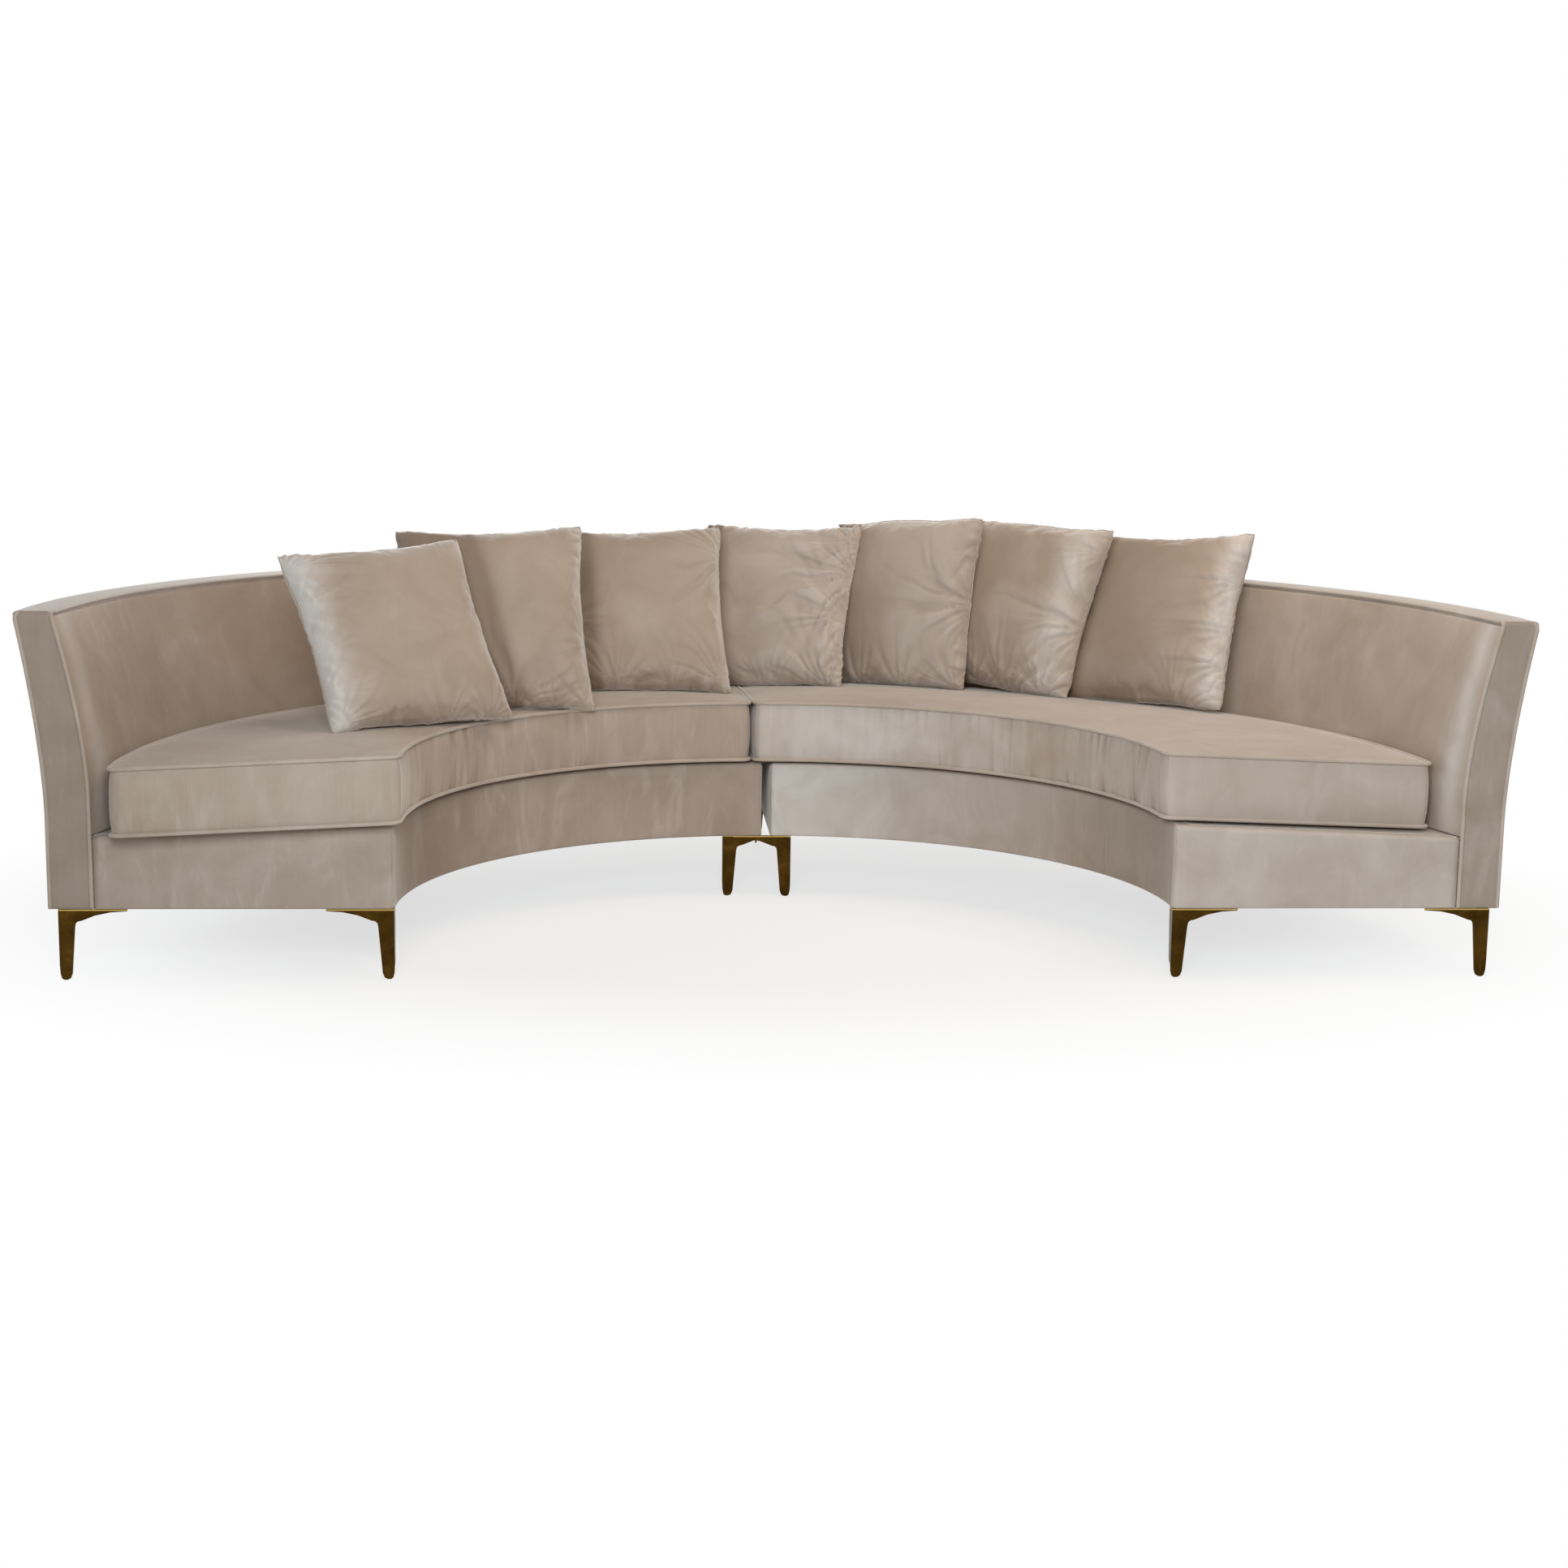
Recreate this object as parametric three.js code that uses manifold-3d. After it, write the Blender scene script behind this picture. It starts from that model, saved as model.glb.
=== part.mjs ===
// A curved sofa: two quarter-ring sections that stand side by side as a half ring, with a loose
// seat cushion on each section and seven loose pillows. Millimetres, +Z up, sitters face -Y.
import * as THREE from 'three';
import { mergeVertices } from 'three/addons/utils/BufferGeometryUtils.js';
import Module from 'manifold-3d';

const wasm = await Module();
wasm.setup();

// Fits
const GAP = 0.3; // between pieces that touch
const REST_GAP = 0.4; // under loose cushions and pillows
const SKIN_CLEARANCE = 2.2; // between flat pieces and the faceted curves round them
const OVERRUN = 20; // how far a cutting tool runs past what it cuts

// Plan of one section, a quarter ring about its own centre
const INNER_R = 845; // front face of the base
const OUTER_R = 1585; // outside of the back below its flare
const BACK_THICKNESS = 94; // from its piping line on the end face, below its flare
const SECTION_GAP = 20; // between the two bases at the joint
const QUARTER = Math.PI / 2;
const ARC_STEPS = 16; // facets along a quarter turn

// Heights
const LEG_HEIGHT = 155.5;
const BASE_BOTTOM = LEG_HEIGHT + GAP;
const BASE_HEIGHT = 187; // at its front face
const DECK_FALL_SHARE = 0.042; // fall of the deck for each unit towards the back
const BACK_TOP = 800;

// Flare of the back
const FLARE_START_Z = 360;
const OUTER_FLARE = 54;
const INNER_FLARE_START_Z = 400;
const INNER_FLARE = 67;
const FLARE_POWER = 1.6;

// Covers
const COVER = 6; // padded cover of the base
const BACK_SKIN = 5; // board and cover behind the back
const DUST_COVER = 2;
const DECK_COVER = 4;

// Border band that runs up each end of the back and along its top
const BORDER_END = 8;
const BORDER_TOP = 12;
const BORDER_OUTER_ROUND = 11;
const BORDER_INNER_ROUND = 6;
const PANEL_STAND = 1; // how far the end panels stand proud of the top strip
const PIPING_R = 4.5;
const PIPING_SIDES = 6;
const PIPING_STEPS = 24;

// Inside back padding
const PAD_BULGE = 46; // how far the padding stands in front of the piping line at the seat
const PAD_TOP_BULGE = 13;
const PAD_EASE = 200; // length over which the padding swells behind the end piping
const PAD_BACKING = 4.5;

// Timber frame
const RAIL = 24; // thickness of the base rails
const POST = 18; // thickness of the back's plywood posts
const POST_SETBACK = 1.2; // behind the padding
const POST_FOOT = 43; // depth of a post's foot behind the outer rail
const TOP_RAIL_HEIGHT = 27;
const TOP_RAIL_DEPTH = 54;
const TOP_RAIL_SETBACK = 5; // from the padding's back to the rail

// Webbing under the deck
const WEBBING = 3;
const STRAP = 60;
const WEBBING_BAYS = 6; // openings along the arc
const WEBBING_ROWS = 2; // openings across the seat

// Legs, cast brackets with one long wing
const LEG_WEB = 5;
const LEG_WIDTH = 35; // below the fillet
const LEG_ANKLE_WIDTH = 28;
const LEG_TOE_HEIGHT = 32;
const LEG_TOE_WIDTH = 8;
const LEG_FILLET = 14;
const LEG_FLANGE = 28; // depth of the post's side flange
const LEG_PLATE = 3;
const LEG_PLATE_LENGTH = 26;
const WING_LENGTH = 147;
const WING_DEPTH = 25; // where it leaves the fillet
const WING_TIP = 4;
const LEG_INSET = 1.5; // behind the base's faces
const LEG_SIDE_INSET = 20; // in from the outside of the back
const JOINT_LEG_INSET = { left: 99, right: 54 }; // from the joint face to the post
const JOINT_LEG_SETBACK = { left: 8, right: 1.5 }; // the two wings pass under the joint
const BOLT_ALONG = 14; // place of the bolt on the leg's top plate
const BOLT_ACROSS = 12;
const BOLT_R = 4;
const BOLT_HEAD_R = 6;
const BOLT_HEAD = 4;
const BOLT_REACH = 34; // above the top plate
const BOLT_SIDES = 8;

// Seat cushions
const SEAT_OVERHANG = 15; // past the base's front face
const SEAT_BACK_CLEARANCE = 8; // to the inside back padding
const SEAT_THICKNESS = 143; // between its two piped seams
const SEAT_SEAM_LIFT = 11; // of the lower seam above the deck
const SEAT_CROWN = 15;
const SEAT_CROWN_POWER = 2.6;
const SEAT_JOINT_OVERHANG = 3; // past the base, under the piping
const SEAT_TURN = 2.6; // degrees that both cushions lie turned about the ring
const SEAT_BEAD = 4;
const SEAT_DRAW_IN = 3;
const SEAT_CORNER = 24; // length over which a corner is rounded
const SEAT_CORNER_CUT = 6;
const SEAT_STEPS_ALONG = 14;
const SEAT_STEPS_ACROSS = 5;

// Pillows
const PILLOW = 455; // corner to corner along an edge
const PILLOW_THICKNESS = 145;
const PILLOW_DRAW_IN = 12; // how far the middle of an edge is drawn in
const PILLOW_CELLS = 10;
const PILLOW_FULLNESS_POWER = 0.5;

// Each pillow's place: degrees round the ring from the left end, share of the seat's depth from its
// front, then degrees of yaw, of lean and of roll
const PILLOW_SHARES = [
  { around: 23.8, depth: 0.102, yaw: 26.7, lean: 32.6, roll: -4.5 },
  { around: 44.6, depth: 0.142, yaw: 8.9, lean: 22.6, roll: -1.6 },
  { around: 72.9, depth: 0.362, yaw: 2.6, lean: 29.4, roll: -2 },
  { around: 90.3, depth: 0.685, yaw: -26, lean: 24.2, roll: -1.8 },
  { around: 106, depth: 0.751, yaw: -39.2, lean: 9.8, roll: 0.1 },
  { around: 118.9, depth: 0.74, yaw: -43.4, lean: 19.4, roll: 4.3 },
  { around: 137.6, depth: 0.764, yaw: -43.8, lean: 25.9, roll: -4.3 },
];

// Finishes
const VELVET = { color: 0xb4a595, roughness: 0.75, metalness: 0 };
const TIMBER = { color: 0xb98f5c, roughness: 0.8, metalness: 0 };
const STRAPPING = { color: 0x2e2d2b, roughness: 0.9, metalness: 0 };
const CAMBRIC = { color: 0x1c1c1c, roughness: 0.95, metalness: 0 };
const BRASS = { color: 0x7a5c22, roughness: 0.3, metalness: 1 };
const STEEL = { color: 0x9a9a98, roughness: 0.4, metalness: 1 };

// Surfaces of a section, by radius and height
const INNER_LINE_R = OUTER_R - BACK_THICKNESS;

function flare(z, start, amount) {
  return amount * Math.max(0, (z - start) / (BACK_TOP - start)) ** FLARE_POWER;
}

function outerR(z) {
  return OUTER_R + flare(z, FLARE_START_Z, OUTER_FLARE);
}

function innerLineR(z) {
  return INNER_LINE_R + flare(z, INNER_FLARE_START_Z, INNER_FLARE);
}

function deckZ(r) {
  return BASE_BOTTOM + BASE_HEIGHT - (r - INNER_R) * DECK_FALL_SHARE;
}

// The padding swells from nothing at the end piping to its full bulge
function padBulge(z) {
  const foot = deckZ(INNER_LINE_R);
  const share = Math.min(1, Math.max(0, (z - foot) / (BACK_TOP - foot)));
  return PAD_BULGE + (PAD_TOP_BULGE - PAD_BULGE) * share ** 1.5;
}

function padFaceR(z, angle) {
  const along = Math.min(1, (angle * INNER_LINE_R) / PAD_EASE);
  return innerLineR(z) - padBulge(z) * (1 - (1 - along) ** 2);
}

function padBackR(z) {
  return innerLineR(z) + PAD_BACKING;
}

// Places worked out from the sizes above
const BORDER_UNDERSIDE = BACK_TOP - BORDER_TOP;
const FRAME_BOTTOM = BASE_BOTTOM + DUST_COVER + GAP;
const RAIL_DROP = DECK_COVER + WEBBING + 2 * GAP;
const INNER_RAIL_R = INNER_R + COVER + SKIN_CLEARANCE;
const POST_BACK_R = OUTER_R - BACK_SKIN - SKIN_CLEARANCE;
const POST_FOOT_R = POST_BACK_R - POST_FOOT;
const OUTER_RAIL_R = POST_FOOT_R - GAP - RAIL;
const TOP_RAIL_Z = BORDER_UNDERSIDE - GAP - TOP_RAIL_HEIGHT;
const TOP_RAIL_R = padBackR(BORDER_UNDERSIDE) + TOP_RAIL_SETBACK;
const PAD_FOOT_Z = deckZ(INNER_LINE_R - PAD_BULGE) + GAP;
const SEAT_FRONT_R = INNER_R - SEAT_OVERHANG;
const SEAT_BACK_R = INNER_LINE_R - PAD_BULGE - SEAT_BACK_CLEARANCE;

// Closed meshes
function closedGeometry(points, triangles) {
  const cross = new THREE.Vector3();
  let volume = 0;
  for (const [a, b, c] of triangles) volume += points[a].dot(cross.crossVectors(points[b], points[c]));
  const geometry = new THREE.BufferGeometry();
  geometry.setAttribute('position', new THREE.Float32BufferAttribute(points.flatMap((p) => p.toArray()), 3));
  geometry.setIndex(triangles.flatMap(([a, b, c]) => (volume > 0 ? [a, b, c] : [a, c, b])));
  return geometry;
}

function merged(geometry) {
  const bare = geometry.clone();
  bare.deleteAttribute('normal');
  bare.deleteAttribute('uv');
  return mergeVertices(bare, 1e-4);
}

function solid(geometry) {
  const shape = merged(geometry);
  return new wasm.Manifold(new wasm.Mesh({
    numProp: 3,
    vertProperties: new Float32Array(shape.attributes.position.array),
    triVerts: new Uint32Array(shape.index.array),
  }));
}

function fromSolid(shape) {
  const mesh = shape.getMesh();
  const geometry = new THREE.BufferGeometry();
  geometry.setAttribute('position', new THREE.BufferAttribute(new Float32Array(mesh.vertProperties), 3));
  geometry.setIndex(new THREE.BufferAttribute(new Uint32Array(mesh.triVerts), 1));
  return geometry;
}

function joined(geometries) {
  return fromSolid(geometries.map(solid).reduce((a, b) => a.add(b)));
}

function cut(geometry, tools) {
  return fromSolid(tools.map(solid).reduce((a, b) => a.subtract(b), solid(geometry)));
}

// Mirrors a geometry across the plane x = 0, with its triangles turned to face out again
function mirrored(geometry) {
  const shape = merged(geometry);
  shape.scale(-1, 1, 1);
  const index = shape.index.array;
  for (let i = 0; i < index.length; i += 3) {
    [index[i + 1], index[i + 2]] = [index[i + 2], index[i + 1]];
  }
  return shape;
}

// A flat outline stood up between two heights, either of which may depend on the radius
function upright(shape, bottom, top) {
  const geometry = new THREE.ExtrudeGeometry(shape, { depth: 1, bevelEnabled: false, curveSegments: ARC_STEPS });
  const position = geometry.attributes.position;
  for (let i = 0; i < position.count; i += 1) {
    const r = Math.hypot(position.getX(i), position.getY(i));
    position.setZ(i, position.getZ(i) > 0.5 ? top(r) : bottom(r));
  }
  return geometry;
}

function level(z) {
  return () => z;
}

function belowDeck(depth) {
  return (r) => deckZ(r) - depth;
}

function outlined(points) {
  return new THREE.Shape(points.map(([x, y]) => new THREE.Vector2(x, y)));
}

function rectangle(x0, x1, y0, y1) {
  return outlined([[x0, y0], [x1, y0], [x1, y1], [x0, y1]]);
}

// Flat ring sector whose ends are parallel to the section's end face and joint face
function sector(r0, r1, inset) {
  const shape = new THREE.Shape();
  shape.absarc(0, 0, r1, Math.asin(inset / r1), Math.acos(inset / r1), false);
  shape.absarc(0, 0, r0, Math.acos(inset / r0), Math.asin(inset / r0), true);
  shape.closePath();
  return shape;
}

// Evenly spaced shares of the way round, and the same with more where the padding swells
const EVEN_SHARES = Array.from({ length: ARC_STEPS + 1 }, (_, i) => i / ARC_STEPS);
const SWELL = PAD_EASE / INNER_LINE_R / QUARTER;
const SWELL_SHARES = [0, 0.14, 0.35, 0.65].map((share) => share * SWELL)
  .concat(EVEN_SHARES.filter((share) => share > 0.9 * SWELL));

// A closed outline of radius and height swept about the ring's centre from the end to the joint
function swept(outlineAt, inset, shares = EVEN_SHARES) {
  const points = [];
  const triangles = [];
  const count = outlineAt(0).length;
  for (const share of shares) {
    for (const [r, z] of outlineAt(share * QUARTER)) {
      const start = Math.asin(inset / r);
      const angle = start + (QUARTER - 2 * start) * share;
      points.push(new THREE.Vector3(r * Math.cos(angle), r * Math.sin(angle), z));
    }
  }
  for (let i = 0; i < shares.length - 1; i += 1) {
    for (let j = 0; j < count; j += 1) {
      const a = i * count + j;
      const b = i * count + ((j + 1) % count);
      triangles.push([a, b, b + count], [a, b + count, a + count]);
    }
  }
  triangles.push(...cap(outlineAt(0), 0, false));
  triangles.push(...cap(outlineAt(QUARTER), (shares.length - 1) * count, true));
  return closedGeometry(points, triangles);
}

// Triangles that close one end of a sweep, turned along its outline or against it
function cap(outline, offset, along) {
  const flat = outline.map(([r, z]) => new THREE.Vector2(r, z));
  const turn = Math.sign(THREE.ShapeUtils.area(flat));
  return THREE.ShapeUtils.triangulateShape(flat, []).map((face) => {
    const agrees = Math.sign(THREE.ShapeUtils.area(face.map((k) => flat[k]))) === turn;
    const [a, b, c] = face.map((k) => offset + k);
    return agrees === along ? [a, b, c] : [a, c, b];
  });
}

function steps(from, to, count) {
  return Array.from({ length: count + 1 }, (_, i) => from + ((to - from) * i) / count);
}

function rounding(r, z, radius, from, to, count) {
  return steps(from, to, count).map((angle) => [r + radius * Math.cos(angle), z + radius * Math.sin(angle)]);
}

// Base frame
function curvedRail(r) {
  const bottom = FRAME_BOTTOM;
  const outline = [[r, bottom], [r + RAIL, bottom], [r + RAIL, deckZ(r + RAIL) - RAIL_DROP],
    [r, deckZ(r) - RAIL_DROP]];
  return swept(() => outline, BORDER_END + GAP);
}

function straightRail() {
  const near = INNER_RAIL_R + RAIL + GAP;
  const far = OUTER_RAIL_R - SKIN_CLEARANCE;
  const shape = rectangle(near, far, BORDER_END + GAP, BORDER_END + GAP + RAIL);
  return upright(shape, level(FRAME_BOTTOM), belowDeck(RAIL_DROP));
}

// The joint face is the end face mirrored across the middle of the section
function atJoint(geometry) {
  return mirrored(geometry).rotateZ(-QUARTER);
}

// A sheet that follows the deck from the inner cover to the outer rail
function deckSheet(drop, thickness) {
  const front = INNER_RAIL_R;
  const back = OUTER_RAIL_R + RAIL;
  const outline = [[front, deckZ(front) - drop - thickness], [back, deckZ(back) - drop - thickness],
    [back, deckZ(back) - drop], [front, deckZ(front) - drop]];
  return swept(() => outline, BORDER_END + GAP);
}

// Elastic straps, woven and stapled to the rails
function webbing() {
  const front = INNER_RAIL_R + STRAP;
  const rowPitch = (OUTER_RAIL_R + RAIL - front) / WEBBING_ROWS;
  const bayPitch = QUARTER / WEBBING_BAYS;
  const holes = [];
  for (let row = 0; row < WEBBING_ROWS; row += 1) {
    for (let bay = 0; bay < WEBBING_BAYS; bay += 1) {
      const r = front + row * rowPitch;
      holes.push(webbingHole(r, r + rowPitch - STRAP, bay * bayPitch, (bay + 1) * bayPitch));
    }
  }
  return cut(deckSheet(DECK_COVER + GAP, WEBBING), holes);
}

function webbingHole(r0, r1, start, finish) {
  const half = (r) => STRAP / 2 / r;
  const corners = [[r0, start + half(r0)], [r1, start + half(r1)], [r1, finish - half(r1)], [r0, finish - half(r0)]];
  const shape = outlined(corners.map(([r, angle]) => [r * Math.cos(angle), r * Math.sin(angle)]));
  return upright(shape, belowDeck(OVERRUN), belowDeck(-OVERRUN));
}

// One padded cover over the joint face, the curved front and the end face of the base
function baseCover() {
  const shape = new THREE.Shape();
  const far = INNER_LINE_R - PIPING_R - GAP;
  const inside = INNER_R + COVER;
  shape.moveTo(far, 0);
  shape.absarc(0, 0, INNER_R, 0, QUARTER, false);
  shape.lineTo(0, far);
  shape.lineTo(COVER, far);
  shape.absarc(0, 0, inside, Math.acos(COVER / inside), Math.asin(COVER / inside), true);
  shape.lineTo(far, COVER);
  shape.closePath();
  return upright(shape, level(BASE_BOTTOM), belowDeck(0));
}

// Back frame: plywood posts in planes through the ring's centre, and a curved top rail
function post(angle, offset) {
  const shoulder = deckZ(INNER_LINE_R) + GAP;
  const top = TOP_RAIL_Z - GAP;
  const front = steps(shoulder, top, 6).map((z) => [padBackR(z) + POST_SETBACK, z]);
  const back = steps(top, FLARE_START_Z, 5).map((z) => [outerR(z) - BACK_SKIN - SKIN_CLEARANCE, z]);
  const outline = [[POST_FOOT_R, FRAME_BOTTOM], [POST_FOOT_R, shoulder], ...front, ...back,
    [POST_BACK_R, FRAME_BOTTOM]];
  return standing(outline, POST).translate(0, offset, 0).rotateZ(angle);
}

// An outline of radius and height made a plate whose front is the plane y = 0
function standing(outline, thickness) {
  const geometry = new THREE.ExtrudeGeometry(outlined(outline), { depth: thickness, bevelEnabled: false });
  return geometry.rotateX(QUARTER).translate(0, thickness, 0);
}

function topRail() {
  const far = TOP_RAIL_R + TOP_RAIL_DEPTH;
  const top = TOP_RAIL_Z + TOP_RAIL_HEIGHT;
  return swept(() => [[TOP_RAIL_R, TOP_RAIL_Z], [far, TOP_RAIL_Z], [far, top], [TOP_RAIL_R, top]], BORDER_END + GAP);
}

// Curved board and cover behind the back
function outsideBack() {
  const rise = steps(FLARE_START_Z, BORDER_UNDERSIDE - GAP, 5);
  const outline = [
    [OUTER_R, BASE_BOTTOM],
    ...rise.map((z) => [outerR(z), z]),
    ...rise.map((z) => [outerR(z) - BACK_SKIN, z]).reverse(),
    [OUTER_R - BACK_SKIN, BASE_BOTTOM],
  ];
  return swept(() => outline, BORDER_END + GAP);
}

function insideBackPad() {
  const rise = steps(PAD_FOOT_Z, BORDER_UNDERSIDE - GAP, 6);
  const outlineAt = (angle) => [
    ...rise.map((z) => [padFaceR(z, angle), z]),
    ...rise.map((z) => [padBackR(z), z]).reverse(),
  ];
  return swept(outlineAt, BORDER_END + GAP, SWELL_SHARES);
}

// Border: an end panel, a joint panel and the top strip between them, with piping round the end panel
function borderTop(inner, outer, top) {
  return [
    ...rounding(inner + BORDER_INNER_ROUND, top - BORDER_INNER_ROUND, BORDER_INNER_ROUND, 2 * QUARTER, QUARTER, 2),
    ...rounding(outer - BORDER_OUTER_ROUND, top - BORDER_OUTER_ROUND, BORDER_OUTER_ROUND, QUARTER, 0, 3),
  ];
}

function borderPanel(faceR) {
  const rise = steps(INNER_FLARE_START_Z, BORDER_UNDERSIDE, 6);
  const fall = steps(BORDER_UNDERSIDE, FLARE_START_Z, 6);
  return standing([
    [INNER_LINE_R, BASE_BOTTOM],
    [INNER_LINE_R, PAD_FOOT_Z],
    [faceR(PAD_FOOT_Z), PAD_FOOT_Z + GAP],
    ...rise.map((z) => [faceR(z), z]),
    ...borderTop(faceR(BACK_TOP), outerR(BACK_TOP), BACK_TOP),
    ...fall.map((z) => [outerR(z), z]),
    [OUTER_R, BASE_BOTTOM],
  ], BORDER_END);
}

function borderStrip() {
  const outlineAt = (angle) => {
    const inner = padFaceR(BACK_TOP, angle) + PANEL_STAND;
    const outer = outerR(BACK_TOP) - PANEL_STAND;
    return [[inner, BORDER_UNDERSIDE], ...borderTop(inner, outer, BACK_TOP - PANEL_STAND),
      [outerR(BORDER_UNDERSIDE) - PANEL_STAND, BORDER_UNDERSIDE]];
  };
  return swept(outlineAt, BORDER_END / 2, SWELL_SHARES);
}

function endPiping() {
  const low = BASE_BOTTOM + PIPING_R / 2;
  const corner = 2 * BORDER_OUTER_ROUND;
  const up = steps(low, BACK_TOP - corner, 6).map((z) => [innerLineR(z), z]);
  const down = steps(BACK_TOP - corner, low, 6).map((z) => [outerR(z) - PIPING_R, z]);
  const over = borderTop(innerLineR(BACK_TOP), outerR(BACK_TOP) - PIPING_R, BACK_TOP - PIPING_R);
  const path = new THREE.CatmullRomCurve3([...up, ...over, ...down].map(([r, z]) => new THREE.Vector3(r, 0, z)));
  const section = outlined(steps(0, 4 * QUARTER, PIPING_SIDES).slice(1)
    .map((angle) => [PIPING_R * Math.cos(angle), PIPING_R * Math.sin(angle)]));
  return new THREE.ExtrudeGeometry(section, { steps: PIPING_STEPS, extrudePath: path });
}

function backBorder() {
  const jointPanel = atJoint(borderPanel((z) => padFaceR(z, QUARTER)));
  return joined([borderPanel(innerLineR), jointPanel, borderStrip(), endPiping()]);
}

// Legs
function legWeb() {
  const shape = new THREE.Shape();
  const wingZ = LEG_HEIGHT - WING_DEPTH;
  shape.moveTo(0, LEG_HEIGHT);
  shape.lineTo(0, LEG_TOE_HEIGHT);
  shape.quadraticCurveTo(0, 0, LEG_TOE_WIDTH, 0);
  shape.lineTo(2 * LEG_TOE_WIDTH, 0);
  shape.quadraticCurveTo(LEG_ANKLE_WIDTH, 0, LEG_ANKLE_WIDTH, LEG_TOE_HEIGHT);
  shape.lineTo(LEG_WIDTH, wingZ - LEG_FILLET);
  shape.quadraticCurveTo(LEG_WIDTH, wingZ, LEG_WIDTH + LEG_FILLET, wingZ);
  shape.quadraticCurveTo((LEG_WIDTH + WING_LENGTH) / 2, LEG_HEIGHT - WING_TIP, WING_LENGTH, LEG_HEIGHT - WING_TIP);
  shape.lineTo(WING_LENGTH, LEG_HEIGHT);
  shape.closePath();
  const geometry = new THREE.ExtrudeGeometry(shape, { depth: LEG_WEB, bevelEnabled: false, curveSegments: 3 });
  return geometry.rotateX(QUARTER).translate(0, LEG_WEB, 0);
}

const FLANGE_SHARES = [[0, 1], [1, 1], [1, 0.8], [0.8, 0.5], [0.7, 0.25], [0.5, 0.2], [0, 0.2]];

function legFlange() {
  const outline = FLANGE_SHARES.map(([y, z]) => [y * LEG_FLANGE, z * LEG_HEIGHT]);
  return mirrored(standing(outline, LEG_WEB)).rotateZ(-QUARTER);
}

function legPlate() {
  const shape = rectangle(0, LEG_PLATE_LENGTH, 0, LEG_FLANGE);
  return upright(shape, level(LEG_HEIGHT - LEG_PLATE), level(LEG_HEIGHT));
}

function boltHole(point) {
  const height = BOLT_REACH + 2 * OVERRUN;
  const hole = new THREE.CylinderGeometry(BOLT_R + GAP, BOLT_R + GAP, height, BOLT_SIDES);
  return hole.rotateX(QUARTER).translate(point.x, point.y, LEG_HEIGHT + BOLT_REACH + GAP - height / 2);
}

function bolt() {
  const under = LEG_HEIGHT - LEG_PLATE - GAP;
  const top = LEG_HEIGHT + BOLT_REACH;
  const profile = [[0, under - BOLT_HEAD], [BOLT_HEAD_R, under - BOLT_HEAD], [BOLT_HEAD_R, under],
    [BOLT_R, under], [BOLT_R, top], [0, top]];
  const geometry = new THREE.LatheGeometry(profile.map(([r, z]) => new THREE.Vector2(r, z)), BOLT_SIDES);
  return geometry.rotateX(QUARTER);
}

// A leg at its place, its flange on the left of its wing's direction or, where flange is -1, on its right
function leg({ x, y, turn, flange }) {
  const body = joined([legWeb(), legFlange(), legPlate()]);
  const geometry = cut(body, [boltHole(new THREE.Vector2(BOLT_ALONG, BOLT_ACROSS))]);
  const sided = flange > 0 ? geometry : mirrored(geometry).rotateZ(2 * QUARTER);
  return sided.rotateZ(turn).translate(x, y, 0);
}

function legPlaces(prefix) {
  const backR = OUTER_R - LEG_SIDE_INSET;
  const middle = new THREE.Vector2(backR, -BOLT_ACROSS).rotateAround(new THREE.Vector2(), QUARTER / 2);
  const jointY = INNER_R + JOINT_LEG_SETBACK[prefix];
  return {
    end_inner: { x: INNER_R + LEG_INSET, y: LEG_INSET, turn: 0, flange: 1 },
    end_outer: { x: backR, y: LEG_INSET, turn: 2 * QUARTER, flange: -1 },
    joint_inner: { x: JOINT_LEG_INSET[prefix], y: jointY, turn: 2 * QUARTER, flange: -1 },
    joint_outer: { x: LEG_INSET, y: backR, turn: -QUARTER, flange: 1 },
    back_middle: { x: middle.x, y: middle.y, turn: 2.5 * QUARTER, flange: -1 },
  };
}

function boltPoint({ x, y, turn, flange }) {
  const point = new THREE.Vector2(BOLT_ALONG, BOLT_ACROSS * flange);
  return point.rotateAround(new THREE.Vector2(), turn).add(new THREE.Vector2(x, y));
}

// Seat cushions
function seatSeamZ(r) {
  return deckZ(r) + SEAT_SEAM_LIFT;
}

function crownShare(share) {
  return Math.max(0, 1 - Math.abs(2 * share - 1) ** SEAT_CROWN_POWER);
}

function seatCrown(across, along) {
  return SEAT_CROWN * crownShare(across) * Math.min(1, 2 * crownShare(along));
}

// A point of the cushion by its shares across and along, moved out by lengths across and along
function seatPoint(across, along, z, outR, outAlong) {
  const r = SEAT_FRONT_R + (SEAT_BACK_R - SEAT_FRONT_R) * across + outR;
  const angle = (QUARTER + SEAT_JOINT_OVERHANG / r) * along + outAlong / r;
  return new THREE.Vector3(r * Math.cos(angle), r * Math.sin(angle), z);
}

// Shares of a length, with a short step at each end for the rounded corners
function seatShares(length, count) {
  const corner = SEAT_CORNER / length;
  return [0, ...steps(corner, 1 - corner, count), 1];
}

// The cushion's wall from its lower seam to its upper one: share of the thickness, offsets up and out
function seatWall() {
  const bead = SEAT_BEAD;
  return [
    [0, 0, -bead], [0, -bead / 2, bead], [0, bead, bead], [0, 2 * bead, -SEAT_DRAW_IN],
    [0.5, 0, SEAT_DRAW_IN],
    [1, -2 * bead, -SEAT_DRAW_IN], [1, -bead, bead], [1, bead / 2, bead], [1, 0, -bead],
  ];
}

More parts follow.
